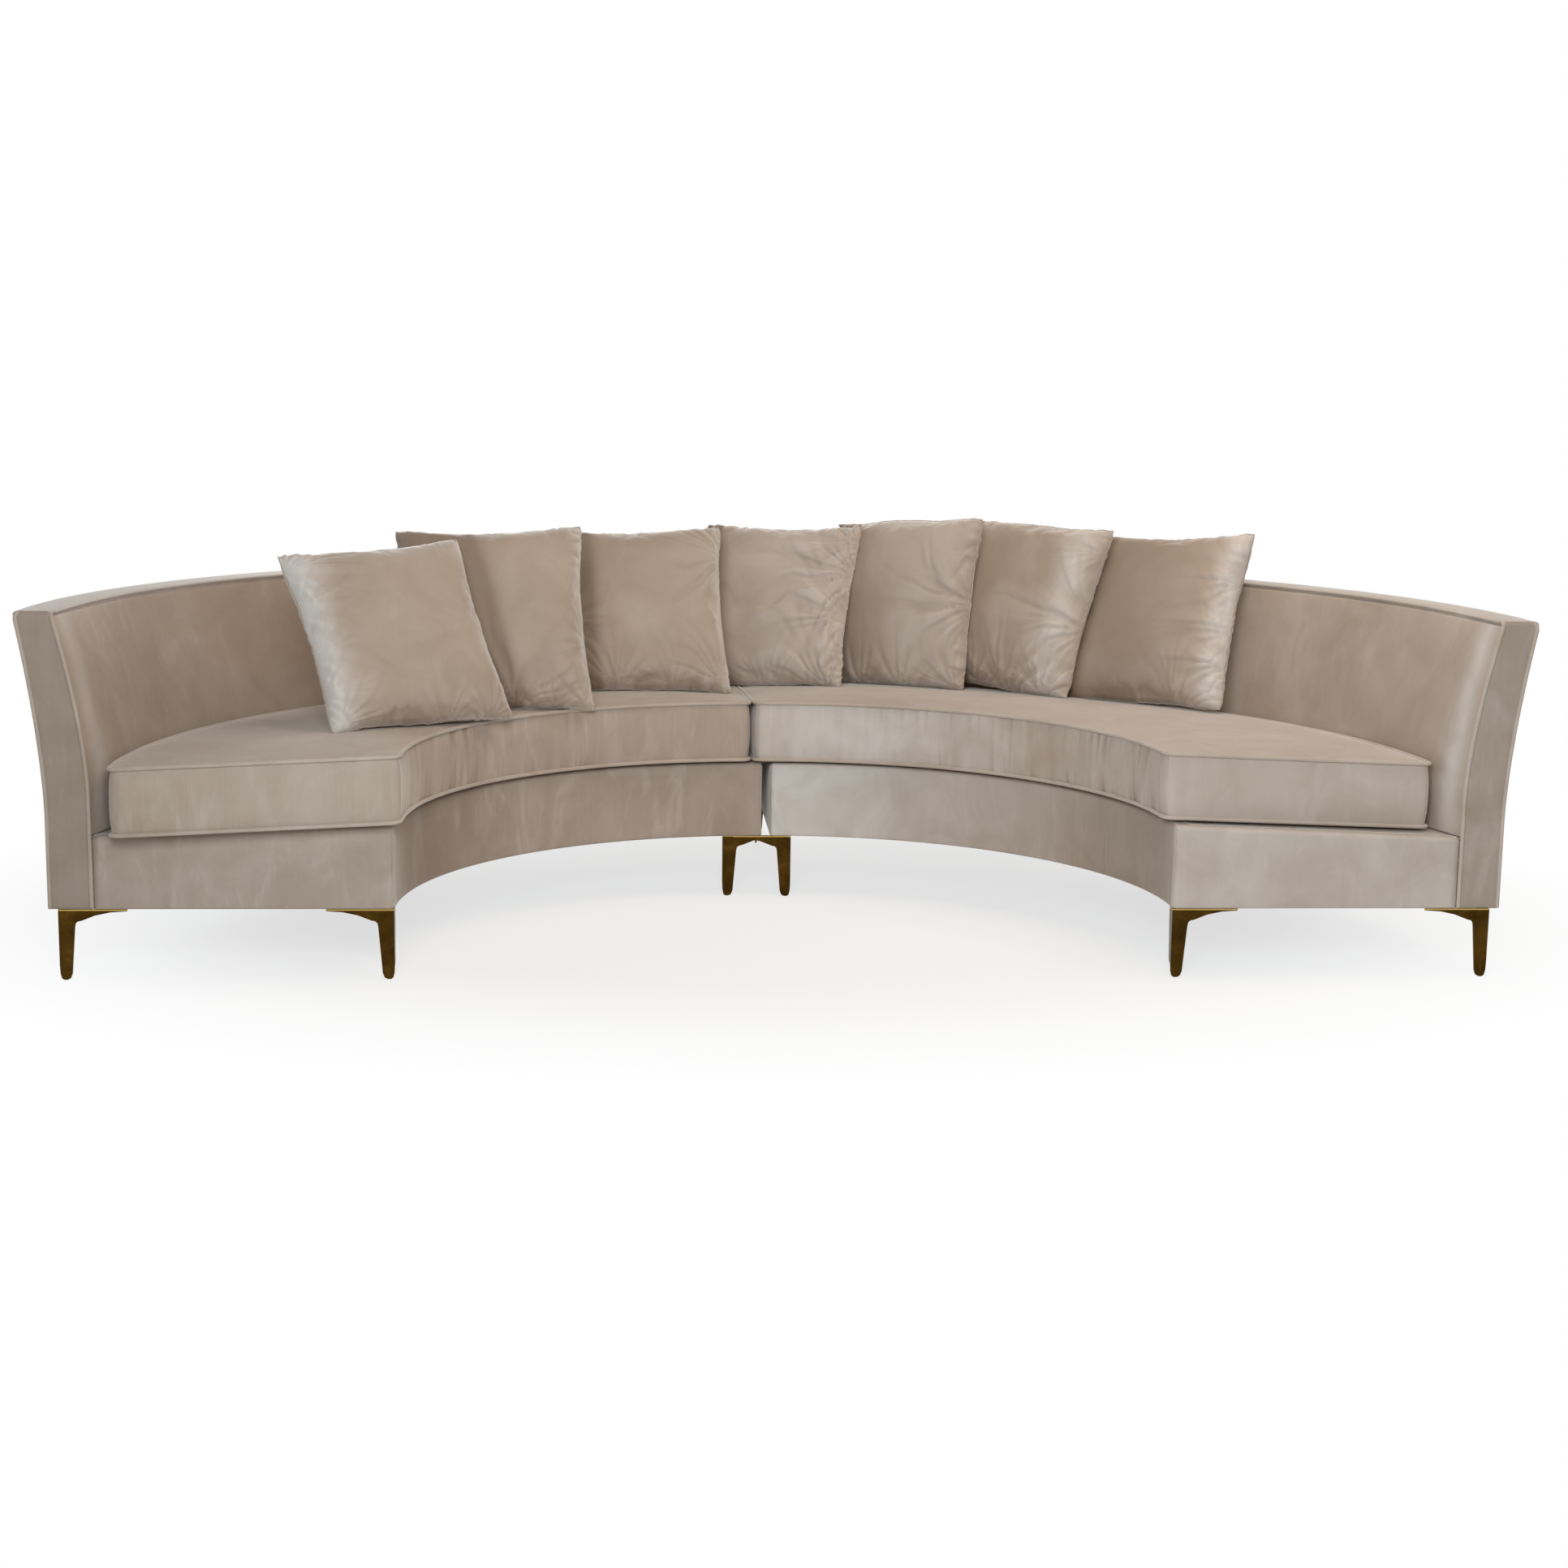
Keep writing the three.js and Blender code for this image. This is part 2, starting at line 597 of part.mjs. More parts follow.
function seatCushion() {
  const across = seatShares(SEAT_BACK_R - SEAT_FRONT_R, SEAT_STEPS_ACROSS);
  const along = seatShares((QUARTER * (SEAT_BACK_R + SEAT_FRONT_R)) / 2, SEAT_STEPS_ALONG);
  const points = [];
  const triangles = [];
  const quad = (a, b, c, d) => triangles.push([a, b, c], [a, c, d]);
  const side = (share) => (share === 1) - (share === 0);
  const addPoint = (a, b, heightAt, out) => {
    const r = SEAT_FRONT_R + (SEAT_BACK_R - SEAT_FRONT_R) * a;
    const trim = side(a) && side(b) ? out - SEAT_CORNER_CUT : out;
    points.push(seatPoint(a, b, seatSeamZ(r) + heightAt, trim * side(a), trim * side(b)));
    return points.length - 1;
  };
  const belly = (a, b) => Math.min(SEAT_SEAM_LIFT - REST_GAP, seatCrown(a, b));
  const inset = -2 * SEAT_BEAD;
  const bottom = across.map((a) => along.map((b) => addPoint(a, b, -belly(a, b), inset)));
  const top = across.map((a) => along.map((b) => addPoint(a, b, SEAT_THICKNESS + seatCrown(a, b), inset)));
  for (let i = 0; i < across.length - 1; i += 1) {
    for (let j = 0; j < along.length - 1; j += 1) {
      quad(top[i][j], top[i + 1][j], top[i + 1][j + 1], top[i][j + 1]);
      quad(bottom[i][j], bottom[i][j + 1], bottom[i + 1][j + 1], bottom[i + 1][j]);
    }
  }
  const rim = rimCells(across.length - 1, along.length - 1);
  const rings = seatWall().map(([share, up, out]) => rim.map(([i, j]) => (
    addPoint(across[i], along[j], share * SEAT_THICKNESS + up, out))));
  rings.unshift(rim.map(([i, j]) => bottom[i][j]));
  rings.push(rim.map(([i, j]) => top[i][j]));
  for (let k = 0; k < rings.length - 1; k += 1) {
    rim.forEach((_, n) => {
      const next = (n + 1) % rim.length;
      quad(rings[k][n], rings[k][next], rings[k + 1][next], rings[k + 1][n]);
    });
  }
  return closedGeometry(points, triangles);
}

// Grid cells round the edge of a sheet, in order
function rimCells(m, n) {
  return [
    ...Array.from({ length: m }, (_, i) => [i, 0]),
    ...Array.from({ length: n }, (_, j) => [m, j]),
    ...Array.from({ length: m }, (_, i) => [m - i, n]),
    ...Array.from({ length: n }, (_, j) => [0, n - j]),
  ];
}

// Pillows: two crowned faces that meet in a knife edge, the middle of each edge drawn in
function pillow() {
  const n = PILLOW_CELLS;
  const points = [];
  const triangles = [];
  const draw = (2 * PILLOW_DRAW_IN) / PILLOW;
  const place = (i, j, face) => {
    const u = Math.sin((QUARTER * (2 * i - n)) / n);
    const v = Math.sin((QUARTER * (2 * j - n)) / n);
    const fullness = Math.max(0, (1 - u * u) * (1 - v * v)) ** PILLOW_FULLNESS_POWER;
    return new THREE.Vector3((u * (1 - draw * (1 - v * v)) * PILLOW) / 2,
      (face * fullness * PILLOW_THICKNESS) / 2,
      ((v * (1 - draw * (1 - u * u)) + 1) * PILLOW) / 2);
  };
  for (const face of [-1, 1]) {
    const start = points.length;
    const at = (i, j) => start + i * (n + 1) + j;
    for (let i = 0; i <= n; i += 1) {
      for (let j = 0; j <= n; j += 1) points.push(place(i, j, face));
    }
    for (let i = 0; i < n; i += 1) {
      for (let j = 0; j < n; j += 1) {
        const corners = [at(i, j), at(i + 1, j), at(i + 1, j + 1), at(i, j + 1)];
        const [a, b, c, d] = face < 0 ? corners : corners.reverse();
        triangles.push([a, b, c], [a, c, d]);
      }
    }
  }
  return merged(closedGeometry(points, triangles));
}

// How far a geometry can be let down before one of its points touches one of the meshes
function dropOnto(meshes, geometry) {
  const ray = new THREE.Raycaster();
  const down = new THREE.Vector3(0, 0, -1);
  const point = new THREE.Vector3();
  const position = geometry.attributes.position;
  let drop = Infinity;
  for (let i = 0; i < position.count; i += 1) {
    ray.set(point.fromBufferAttribute(position, i), down);
    const [hit] = ray.intersectObjects(meshes);
    if (hit) drop = Math.min(drop, hit.distance);
  }
  return drop;
}

// Leans and turns a pillow, then sets it down on the seats
function placedPillow({ around, depth, yaw, lean, roll }, seats) {
  const r = SEAT_FRONT_R + (SEAT_BACK_R - SEAT_FRONT_R) * depth;
  const angle = THREE.MathUtils.degToRad(180 - around);
  const geometry = pillow();
  geometry.rotateY(THREE.MathUtils.degToRad(roll));
  geometry.rotateX(THREE.MathUtils.degToRad(-lean));
  geometry.rotateZ(THREE.MathUtils.degToRad(yaw));
  geometry.translate(r * Math.cos(angle), r * Math.sin(angle), BACK_TOP);
  return geometry.translate(0, 0, REST_GAP - dropOnto(seats, geometry));
}

// Assembly
const sofa = new THREE.Group();

function addPiece(parent, name, geometry, finish) {
  const mesh = new THREE.Mesh(geometry, new THREE.MeshStandardMaterial(finish));
  mesh.name = name;
  parent.add(mesh);
  return mesh;
}

function addSection(prefix, side) {
  const section = new THREE.Group();
  section.position.x = (side * SECTION_GAP) / 2;
  const places = legPlaces(prefix);
  const bolted = (geometry) => cut(geometry, Object.values(places).map(boltPoint).map(boltHole));
  const dust = sector(INNER_RAIL_R, POST_BACK_R, BORDER_END + GAP);
  const seatTurn = THREE.MathUtils.degToRad(side * SEAT_TURN);
  const pieces = {
    inner_rail: [bolted(curvedRail(INNER_RAIL_R)), TIMBER],
    outer_rail: [curvedRail(OUTER_RAIL_R), TIMBER],
    end_rail: [straightRail(), TIMBER],
    joint_rail: [atJoint(straightRail()), TIMBER],
    webbing: [webbing(), STRAPPING],
    deck_cover: [deckSheet(0, DECK_COVER), VELVET],
    dust_cover: [bolted(upright(dust, level(BASE_BOTTOM), level(BASE_BOTTOM + DUST_COVER))), CAMBRIC],
    base_cover: [baseCover(), VELVET],
    back_end_post: [bolted(post(0, BORDER_END + GAP)), TIMBER],
    back_middle_post: [bolted(post(QUARTER / 2, -POST / 2)), TIMBER],
    back_joint_post: [bolted(post(QUARTER, -BORDER_END - GAP - POST)), TIMBER],
    back_top_rail: [topRail(), TIMBER],
    outside_back: [outsideBack(), VELVET],
    inside_back_pad: [insideBackPad(), VELVET],
    back_border: [backBorder(), VELVET],
  };
  for (const [name, place] of Object.entries(places)) {
    const point = boltPoint(place);
    pieces[`leg_${name}`] = [leg(place), BRASS];
    pieces[`bolt_${name}`] = [bolt().translate(point.x, point.y, 0), STEEL];
  }
  for (const [name, [geometry, finish]] of Object.entries(pieces)) {
    addPiece(section, `${prefix}_${name}`, side > 0 ? geometry : mirrored(geometry), finish);
  }
  sofa.add(section);
  const seat = seatCushion().rotateZ(seatTurn);
  return addPiece(section, `${prefix}_seat_cushion`, side > 0 ? seat : mirrored(seat), VELVET);
}

const seats = [addSection('left', -1), addSection('right', 1)];
sofa.updateMatrixWorld(true);
PILLOW_SHARES.forEach((place, i) => addPiece(sofa, `pillow_${i + 1}`, placedPillow(place, seats), VELVET));

// The origin is on the floor under the middle of the whole sofa
const group = new THREE.Group();
group.add(sofa);
const box = new THREE.Box3().setFromObject(sofa);
sofa.position.set(-(box.min.x + box.max.x) / 2, -(box.min.y + box.max.y) / 2, 0);

export default group;
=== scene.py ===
import itertools
import math

import bpy
import numpy as np
from mathutils import Matrix, Vector


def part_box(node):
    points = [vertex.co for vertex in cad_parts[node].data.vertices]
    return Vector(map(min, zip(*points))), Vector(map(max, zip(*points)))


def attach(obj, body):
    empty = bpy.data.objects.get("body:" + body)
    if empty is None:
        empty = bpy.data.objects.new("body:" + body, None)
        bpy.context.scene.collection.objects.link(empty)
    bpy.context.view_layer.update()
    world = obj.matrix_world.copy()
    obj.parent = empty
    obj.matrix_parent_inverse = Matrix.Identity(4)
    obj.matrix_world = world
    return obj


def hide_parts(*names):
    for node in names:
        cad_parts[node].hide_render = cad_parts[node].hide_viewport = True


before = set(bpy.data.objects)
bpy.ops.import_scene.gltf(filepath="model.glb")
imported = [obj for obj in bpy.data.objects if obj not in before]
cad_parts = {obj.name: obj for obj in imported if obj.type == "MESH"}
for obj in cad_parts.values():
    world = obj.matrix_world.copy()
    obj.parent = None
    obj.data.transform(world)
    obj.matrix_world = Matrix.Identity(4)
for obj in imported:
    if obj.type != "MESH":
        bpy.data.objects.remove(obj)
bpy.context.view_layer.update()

SCENE = bpy.context.scene
QUARTER = math.pi / 2

# The plan of a section is a quarter ring about its own centre: x from the joint, y from the end face
JOINT_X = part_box("right_base_cover")[0].x
END_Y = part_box("right_base_cover")[0].y

# Sizes of the frame, in metres
FIT = 0.0003  # between pieces that touch
INNER_R, OUTER_R = 0.845, 1.585  # front of the base, outside of the back
LINE_R = 1.491  # front of the back's end panel
BASE_BOTTOM, BASE_TOP, DECK_FALL = 0.1558, 0.3428, 0.042
BACK_TOP, BAND_UNDERSIDE = 0.800, 0.788
OUTER_FLARE_START, OUTER_FLARE = 0.360, 0.054
LINE_FLARE_START, LINE_FLARE = 0.400, 0.067
PAD_BULGE, PAD_TOP_BULGE, PAD_EASE = 0.046, 0.013, 0.200
PIPING_R = 0.0045
SEAT_FRONT_R, SEAT_BACK_R = 0.830, 1.437
SEAT_THICKNESS, SEAT_LIFT, SEAT_CROWN = 0.143, 0.011, 0.015
SEAT_TURN = math.radians(2.6)
SEAT_JOINT_OVERHANG = 0.003
PILLOW, PILLOW_HALF_THICKNESS, PILLOW_DRAW_IN = 0.455, 0.0667, 0.006

# How each pillow stands: its yaw, lean and roll in degrees
PILLOWS = {
    "pillow_1": (26.7, 32.6, -4.5),
    "pillow_2": (8.9, 22.6, -1.6),
    "pillow_3": (2.6, 29.4, -2.0),
    "pillow_4": (-26.0, 24.2, -1.8),
    "pillow_5": (-39.2, 9.8, 0.1),
    "pillow_6": (-43.4, 19.4, 4.3),
    "pillow_7": (-43.8, 25.9, -4.3),
}

# Painted light on the left side, -1, and the right, 1: painted silver sheen over 0, painted brown shade under
# it
BASE_END_PAINTED_SHEEN = {-1: 0.05, 1: 0.35}
BASE_JOINT_PAINTED_LIGHT = {-1: -0.05, 1: 0.95}
BASE_CORNER_PAINTED_SHADE = {-1: -0.40, 1: -0.26}
PAD_PAINTED_LIGHT = {-1: -0.03, 1: 0.12}
PAD_BAND_PAINTED_SHEEN = {-1: 0.40, 1: 0.78}
SEAT_END_PAINTED_SHEEN = {-1: 0.02, 1: 0.25}
SEAT_FRONT_PAINTED_LIGHT = {-1: -0.04, 1: 0.72}
SEAT_TOP_PAINTED_SHEEN = {-1: 0.06, 1: 0.17}


# Surfaces of a section
def flare(z, start, amount):
    return amount * np.maximum(0, (np.asarray(z) - start) / (BACK_TOP - start)) ** 1.6


def outer_r(z):
    return OUTER_R + flare(z, OUTER_FLARE_START, OUTER_FLARE)


def line_r(z):
    return LINE_R + flare(z, LINE_FLARE_START, LINE_FLARE)


def deck_z(r):
    return BASE_TOP - (r - INNER_R) * DECK_FALL


FOOT_Z = deck_z(LINE_R - PAD_BULGE) + FIT


def pad_face(z, angle):
    """Radius of the inside back's face, which swells behind the piping of the end panel."""
    share = np.clip((z - deck_z(LINE_R)) / (BACK_TOP - deck_z(LINE_R)), 0, 1)
    bulge = PAD_BULGE - (PAD_BULGE - PAD_TOP_BULGE) * share ** 1.5
    along = np.minimum(1, angle * LINE_R / PAD_EASE)
    return line_r(z) - bulge * (1 - (1 - along) ** 2)


def crown_share(share):
    return np.maximum(0, 1 - np.abs(2 * share - 1) ** 2.6)


def seat_crown(across, along):
    return SEAT_CROWN * crown_share(across) * np.minimum(1, 2 * crown_share(along))


# Noise on arrays
HASH_FACTORS = (374761393, 668265263, 2147483647, 974711)
HASH_MIX = 1274126177
WORD = 0xFFFFFFFF
HALF_WORD = 0xFFFF


def lattice(*place):
    """A value from -1 to 1 for each place of whole numbers."""
    n = sum(part * factor for part, factor in zip(place, HASH_FACTORS)) & WORD
    n = ((n ^ (n >> 13)) * HASH_MIX) & WORD
    return ((n ^ (n >> 16)) & HALF_WORD) / (HALF_WORD / 2) - 1


def noise3(x, y, z, seed):
    """Smooth noise over three directions."""
    place = np.array(np.broadcast_arrays(x, y, z), float)
    cell = np.floor(place).astype(np.int64)
    t = place - cell
    t = t * t * (3 - 2 * t)
    total = 0
    for corner in itertools.product((0, 1), repeat=3):
        weight = math.prod(share if far else 1 - share for share, far in zip(t, corner))
        total = total + weight * lattice(*(start + far for start, far in zip(cell, corner)), seed)
    return total


def hump(distance, reach):
    return np.exp(-(distance / reach) ** 2)


# Meshes
def to_world(points, side):
    points = np.asarray(points, float)
    return np.stack([side * (JOINT_X + points[..., 0]), END_Y + points[..., 1], points[..., 2]], -1)


def along_ring(world, side):
    """Radius of world points in a section's ring, and their way along it from the end and from the joint."""
    x, y = side * world[:, 0] - JOINT_X, world[:, 1] - END_Y
    r, angle = np.hypot(x, y), np.arctan2(y, x)
    return r, angle * r, (QUARTER - angle) * r


def unit(vectors):
    return vectors / np.maximum(np.linalg.norm(vectors, axis=-1, keepdims=True), 1e-9)


def linked(name, data):
    thing = bpy.data.objects.new(name, data)
    SCENE.collection.objects.link(thing)
    return thing


def mesh_object(name, points, faces):
    """A new object of a mesh, its faces turned out."""
    mesh = bpy.data.meshes.new(name)
    corners = [tuple(p) for p in np.asarray(points, float)]
    mesh.from_pydata(corners, [], [tuple(int(i) for i in face) for face in faces])
    mesh.validate()
    if volume(points, faces) < 0:
        mesh.flip_normals()
    return linked(name, mesh)


def mesh_piece(name, points, faces, body, material, replaced=(), angle=None, painted_light=None):
    piece = mesh_object(name, points, faces)
    mesh = piece.data
    # The attribute holds painted light: painted sheen over 0, painted shade under 0
    if painted_light is not None:
        painted_light_field = mesh.attributes.new("painted_light", "FLOAT", "POINT")
        painted_light_field.data.foreach_set("value", np.asarray(painted_light, np.float32))
    mesh.materials.append(material)
    mesh.polygons.foreach_set("use_smooth", [True] * len(mesh.polygons))
    if angle is not None:
        mesh.set_sharp_from_angle(angle=math.radians(angle))
    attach(piece, body)
    if replaced:
        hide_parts(*replaced)
    return piece


def volume(points, faces):
    """Six times the volume within faces, which is under 0 where they are turned in."""
    corners = np.array([(face[0], b, c) for face in faces for b, c in zip(face[1:-1], face[2:])])
    a, b, c = np.asarray(points, float)[corners].transpose(1, 0, 2)
    return np.sum(a * np.cross(b, c))


def grid_faces(index, flip=False):
    """Faces between the neighbours in a grid of point numbers."""
    a, b, c, d = index[:-1, :-1], index[1:, :-1], index[1:, 1:], index[:-1, 1:]
    order = (a, d, c, b) if flip else (a, b, c, d)
    return np.stack(order, -1).reshape(-1, 4).tolist()


def grid_rim(index):
    """The point numbers round the edge of a grid."""
    return np.concatenate([index[0, :-1], index[:-1, -1], index[-1, :0:-1], index[:0:-1, 0]])


def band_faces(low, high):
    """Faces between two closed rings of point numbers."""
    return np.stack((low, np.roll(low, -1), np.roll(high, -1), high), -1).tolist()


def ring_faces(rings, size, closed=False):
    """Faces between rings of points that follow each other, closed into a loop or with both ends covered."""
    numbers = np.arange(rings * size).reshape(rings, size)
    following = np.roll(numbers, -1, 0) if closed else numbers[1:]
    faces = [face for low, high in zip(numbers, following) for face in band_faces(low, high)]
    return faces if closed else faces + [numbers[0].tolist(), numbers[-1, ::-1].tolist()]


def swept(profile_at, shares, inset):
    """Points and faces of a closed outline of (r, z) swept from the end to the joint, with flat ends."""
    points = []
    for share in shares:
        for r, z in profile_at(share * QUARTER):
            start = math.asin(inset / r)
            angle = start + (QUARTER - 2 * start) * share
            points.append((r * math.cos(angle), r * math.sin(angle), z))
    return points, ring_faces(len(shares), len(points) // len(shares))


def rounded(corners):
    """A closed outline from (a, b, radius) corners: an arc of a few points at each corner with a radius."""
    points = []
    for i, (a, b, radius) in enumerate(corners):
        here = np.array([a, b], float)
        if radius <= 0:
            points.append(tuple(here))
            continue
        before = np.array(corners[i - 1][:2], float) - here
        after = np.array(corners[(i + 1) % len(corners)][:2], float) - here
        p = here + unit(before) * radius
        q = here + unit(after) * radius
        for t in np.linspace(0, 1, 6):
            points.append(tuple((1 - t) ** 2 * p + 2 * t * (1 - t) * here + t * t * q))
    return points


def tube(path, radius, sides=8, closed=False):
    """Points and faces of a round tube along a path, with a steady frame."""
    path = np.asarray(path, float)
    count = len(path)
    if closed:
        tangent = np.roll(path, -1, 0) - np.roll(path, 1, 0)
    else:
        tangent = np.gradient(path, axis=0)
    tangent = unit(tangent)
    normal = np.cross(tangent, (0, 0, 1.0))
    upright = np.linalg.norm(normal, axis=1) < 0.2
    normal[upright] = np.cross(tangent[upright], (0.6, 0.8, 0.0))
    normal = unit(normal)
    for i in range(1, count):  # carried along, so that the tube doesn't twist
        normal[i] = unit(normal[i - 1] - tangent[i] * np.dot(normal[i - 1], tangent[i]))
    binormal = np.cross(tangent, normal)
    if closed:  # the twist left at the end is spread over the path
        carried = normal[-1] - tangent[0] * np.dot(normal[-1], tangent[0])
        twist = math.atan2(np.dot(carried, binormal[0]), np.dot(carried, normal[0]))
        turn = -twist * np.arange(count) / count
        cos, sin = np.cos(turn)[:, None], np.sin(turn)[:, None]
        normal, binormal = normal * cos + binormal * sin, binormal * cos - normal * sin
    angles = (np.arange(sides) * 4 * QUARTER / sides)[None, :, None]
    around = normal[:, None, :] * np.cos(angles) + binormal[:, None, :] * np.sin(angles)
    points = path[:, None, :] + np.broadcast_to(radius, (count,))[:, None, None] * around
    return points.reshape(-1, 3), ring_faces(count, sides, closed)


def joined(*parts):
    """One list of points and faces from several closed forms, each with its faces turned out."""
    points, faces = [], []
    for places, part_faces in parts:
        places = np.asarray(places, float)
        start = len(points)
        points.extend(map(tuple, places))
        step = 1 if volume(places - places.mean(0), part_faces) > 0 else -1
        faces.extend(tuple(start + i for i in face[::step]) for face in part_faces)
    return points, faces


# Materials
class Nodes:
    """Short names for building the node tree of a material or a world."""

    def __init__(self, name, kind="materials"):
        self.owner = getattr(bpy.data, kind).new(name)
        self.owner.use_nodes = True
        self.tree = self.owner.node_tree
        self.coords = self.add("ShaderNodeTexCoord").outputs["Object"]

    def add(self, kind, sockets=(), **settings):
        node = self.tree.nodes.new(kind)
        for key, value in settings.items():
            setattr(node, key, value)
        self.put(node, dict(sockets))
        return node

    def put(self, node, sockets):
        """Sets a node's sockets, given by name or number, to values, or links them to outputs."""
        for key, value in sockets.items():
            if isinstance(value, bpy.types.NodeSocket):
                self.tree.links.new(value, node.inputs[key])
            else:
                node.inputs[key].default_value = value

    def shade(self, **sockets):
        """Sets or links sockets of the shader, named with underscores for spaces."""
        shader = self.tree.nodes["Principled BSDF"]
        self.put(shader, {name.replace("_", " "): value for name, value in sockets.items()})
        return self.owner

    def blend(self, share, first, second, output):
        """Shows a mix of two shaders at the output node."""
        mixed = self.add("ShaderNodeMixShader", {0: share, 1: first.outputs[0], 2: second.outputs[0]})
        self.put(self.tree.nodes[output], {"Surface": mixed.outputs[0]})

    def stretched(self, scale, rotation=(0, 0, 0)):
        sockets = {"Vector": self.coords, "Scale": scale, "Rotation": rotation}
        return self.add("ShaderNodeMapping", sockets).outputs["Vector"]

    def noise(self, vector, scale, detail=3.0, roughness=0.5, distortion=0.0):
        sockets = {"Vector": vector, "Scale": scale, "Detail": detail, "Roughness": roughness,
                   "Distortion": distortion}
        return self.add("ShaderNodeTexNoise", sockets).outputs["Fac"]

    def ramp(self, value, *stops):
        """A colour ramp with (place, colour) stops, a single number standing for a grey."""
        node = self.add("ShaderNodeValToRGB", {"Fac": value})
        while len(node.color_ramp.elements) < len(stops):
            node.color_ramp.elements.new(0.5)
        for element, (at, colour) in zip(node.color_ramp.elements, stops):
            element.position = at
            element.color = colour if isinstance(colour, tuple) else (colour, colour, colour, 1)
        return node.outputs["Color"]

    def math(self, kind, *values):
        return self.add("ShaderNodeMath", enumerate(values), operation=kind).outputs[0]

    def scaled(self, value, factor, offset):
        return self.math("ADD", self.math("MULTIPLY", value, factor), offset)

    def mix(self, factor, a, b, kind="MIX"):
        sockets = {0: factor, 6: a, 7: b}
        return self.add("ShaderNodeMix", sockets, data_type="RGBA", blend_type=kind).outputs[2]

    def between(self, value, start, end, low, high):
        """Goes smoothly from low to high while the value goes from start to end."""
        sockets = {"Value": value, "From Min": start, "From Max": end, "To Min": low, "To Max": high}
        return self.add("ShaderNodeMapRange", sockets, interpolation_type="SMOOTHSTEP").outputs["Result"]

    def bump(self, height, strength, distance, **before):
        sockets = {"Height": height, "Strength": strength, "Distance": distance, **before}
        return self.add("ShaderNodeBump", sockets).outputs["Normal"]


def srgb(*values):
    return (*(v / 255 / 12.92 if v <= 10 else ((v / 255 + 0.055) / 1.055) ** 2.4 for v in values), 1)


# The silver of the pile marks and of the painted sheen, and the brown of the painted shade
MARK_AND_SHEEN_SILVER = srgb(209, 202, 196)
SHADED = srgb(98, 75, 54)


def velvet(name, tones, ribs_share=0.15, marks_share=0.25, silver=0.7, turn=(0.25, 0.75)):
    """Short-pile velvet: its colour shifts where the pile lies another way, and a painted silver sheen is
    mixed into its colour where it turns away from the view. The mesh's attribute of painted light adds
    painted silver sheen where it is over 0 and painted brown shade where it is under it."""
    n = Nodes(name)
    deep, mid, light = (srgb(*tone) for tone in tones)
    lay = n.noise(n.stretched((1, 1, 0.7)), scale=1.7, distortion=0.5)
    patches = n.noise(n.coords, scale=7.0, detail=4, roughness=0.55, distortion=1.0)
    tone = n.math("ADD", n.math("MULTIPLY", lay, 0.6), n.math("MULTIPLY", patches, 0.4))
    colour = n.ramp(tone, (0.34, deep), (0.50, mid), (0.66, light))
    ribs = n.noise(n.stretched((1, 1, 0.02)), scale=130)
    colour = n.mix(ribs_share, colour, n.ramp(ribs, (0.35, 0.86), (0.65, 1.1)), "MULTIPLY")
    stroke = n.noise(n.stretched((1, 1, 0.3), (0.5, 0.7, 0.4)), scale=13, distortion=1.6)
    marks = n.math("MULTIPLY", n.ramp(stroke, (0.54, 0.0), (0.66, 1.0)), marks_share)
    colour = n.mix(marks, colour, n.ramp(patches, (0.3, light), (0.7, MARK_AND_SHEEN_SILVER)))
    fuzz = n.noise(n.coords, scale=1100, detail=2, roughness=0.7)
    colour = n.mix(0.35, colour, n.ramp(fuzz, (0.3, 0.84), (0.7, 1.12)), "MULTIPLY")
    dents = n.noise(n.coords, scale=22, distortion=0.4)
    normal = n.bump(dents, strength=0.22, distance=0.003)
    normal = n.bump(ribs, strength=0.05, distance=0.0006, Normal=normal)
    normal = n.bump(fuzz, strength=0.18, distance=0.0004, Normal=normal)
    # Painted sheen: silver mixed into the colour where the surface turns away from the view
    turned = n.add("ShaderNodeLayerWeight", {"Blend": 0.5, "Normal": normal})
    painted_sheen = n.between(turned.outputs["Facing"], *turn, 0.0, silver)
    # Painted light from the mesh's attribute: more painted silver sheen over 0, painted brown shade under 0
    painted_light = n.add("ShaderNodeAttribute", attribute_name="painted_light").outputs["Fac"]
    painted_light_field = n.math("MULTIPLY", n.math("ADD", painted_sheen, painted_light), n.scaled(patches, 1.4, 0.3))
    colour = n.mix(painted_light_field, colour, MARK_AND_SHEEN_SILVER)
    colour = n.mix(n.math("MULTIPLY", painted_light, -1.0), colour, SHADED)
    return n.shade(Base_Color=colour, Roughness=n.scaled(patches, 0.15, 0.52), Normal=normal,
                   Specular_IOR_Level=0.2, Sheen_Weight=0.6, Sheen_Roughness=0.26,
                   Sheen_Tint=(0.94, 0.91, 0.87, 1))


def timber():
    n = Nodes("frame_timber")
    grain = n.noise(n.stretched((1, 1, 9)), scale=9, detail=6, roughness=0.6, distortion=1.5)
    colour = n.ramp(grain, (0.3, srgb(150, 110, 68)), (0.55, srgb(188, 148, 98)), (0.75, srgb(206, 170, 122)))
    return n.shade(Base_Color=colour, Roughness=n.scaled(grain, 0.2, 0.55),
                   Normal=n.bump(grain, strength=0.25, distance=0.0006))


def strapping():
    n = Nodes("elastic_webbing")
    sockets = {"Scale": 120, "Vector": n.stretched((1, 1, 1), (0, 0, 0.7))}
    ribs = n.add("ShaderNodeTexWave", sockets, wave_type="BANDS", bands_direction="X").outputs["Fac"]
    return n.shade(Base_Color=n.ramp(ribs, (0.2, srgb(30, 29, 28)), (0.8, srgb(64, 60, 56))),
                   Roughness=0.85, Normal=n.bump(ribs, strength=0.5, distance=0.0008))


def cambric():
    n = Nodes("dust_cloth")
    fibres = n.noise(n.coords, scale=420, detail=4, roughness=0.7, distortion=1.0)
    return n.shade(Base_Color=n.ramp(fibres, (0.3, srgb(18, 18, 18)), (0.7, srgb(40, 39, 38))),
                   Roughness=0.95, Normal=n.bump(fibres, strength=0.4, distance=0.0004))


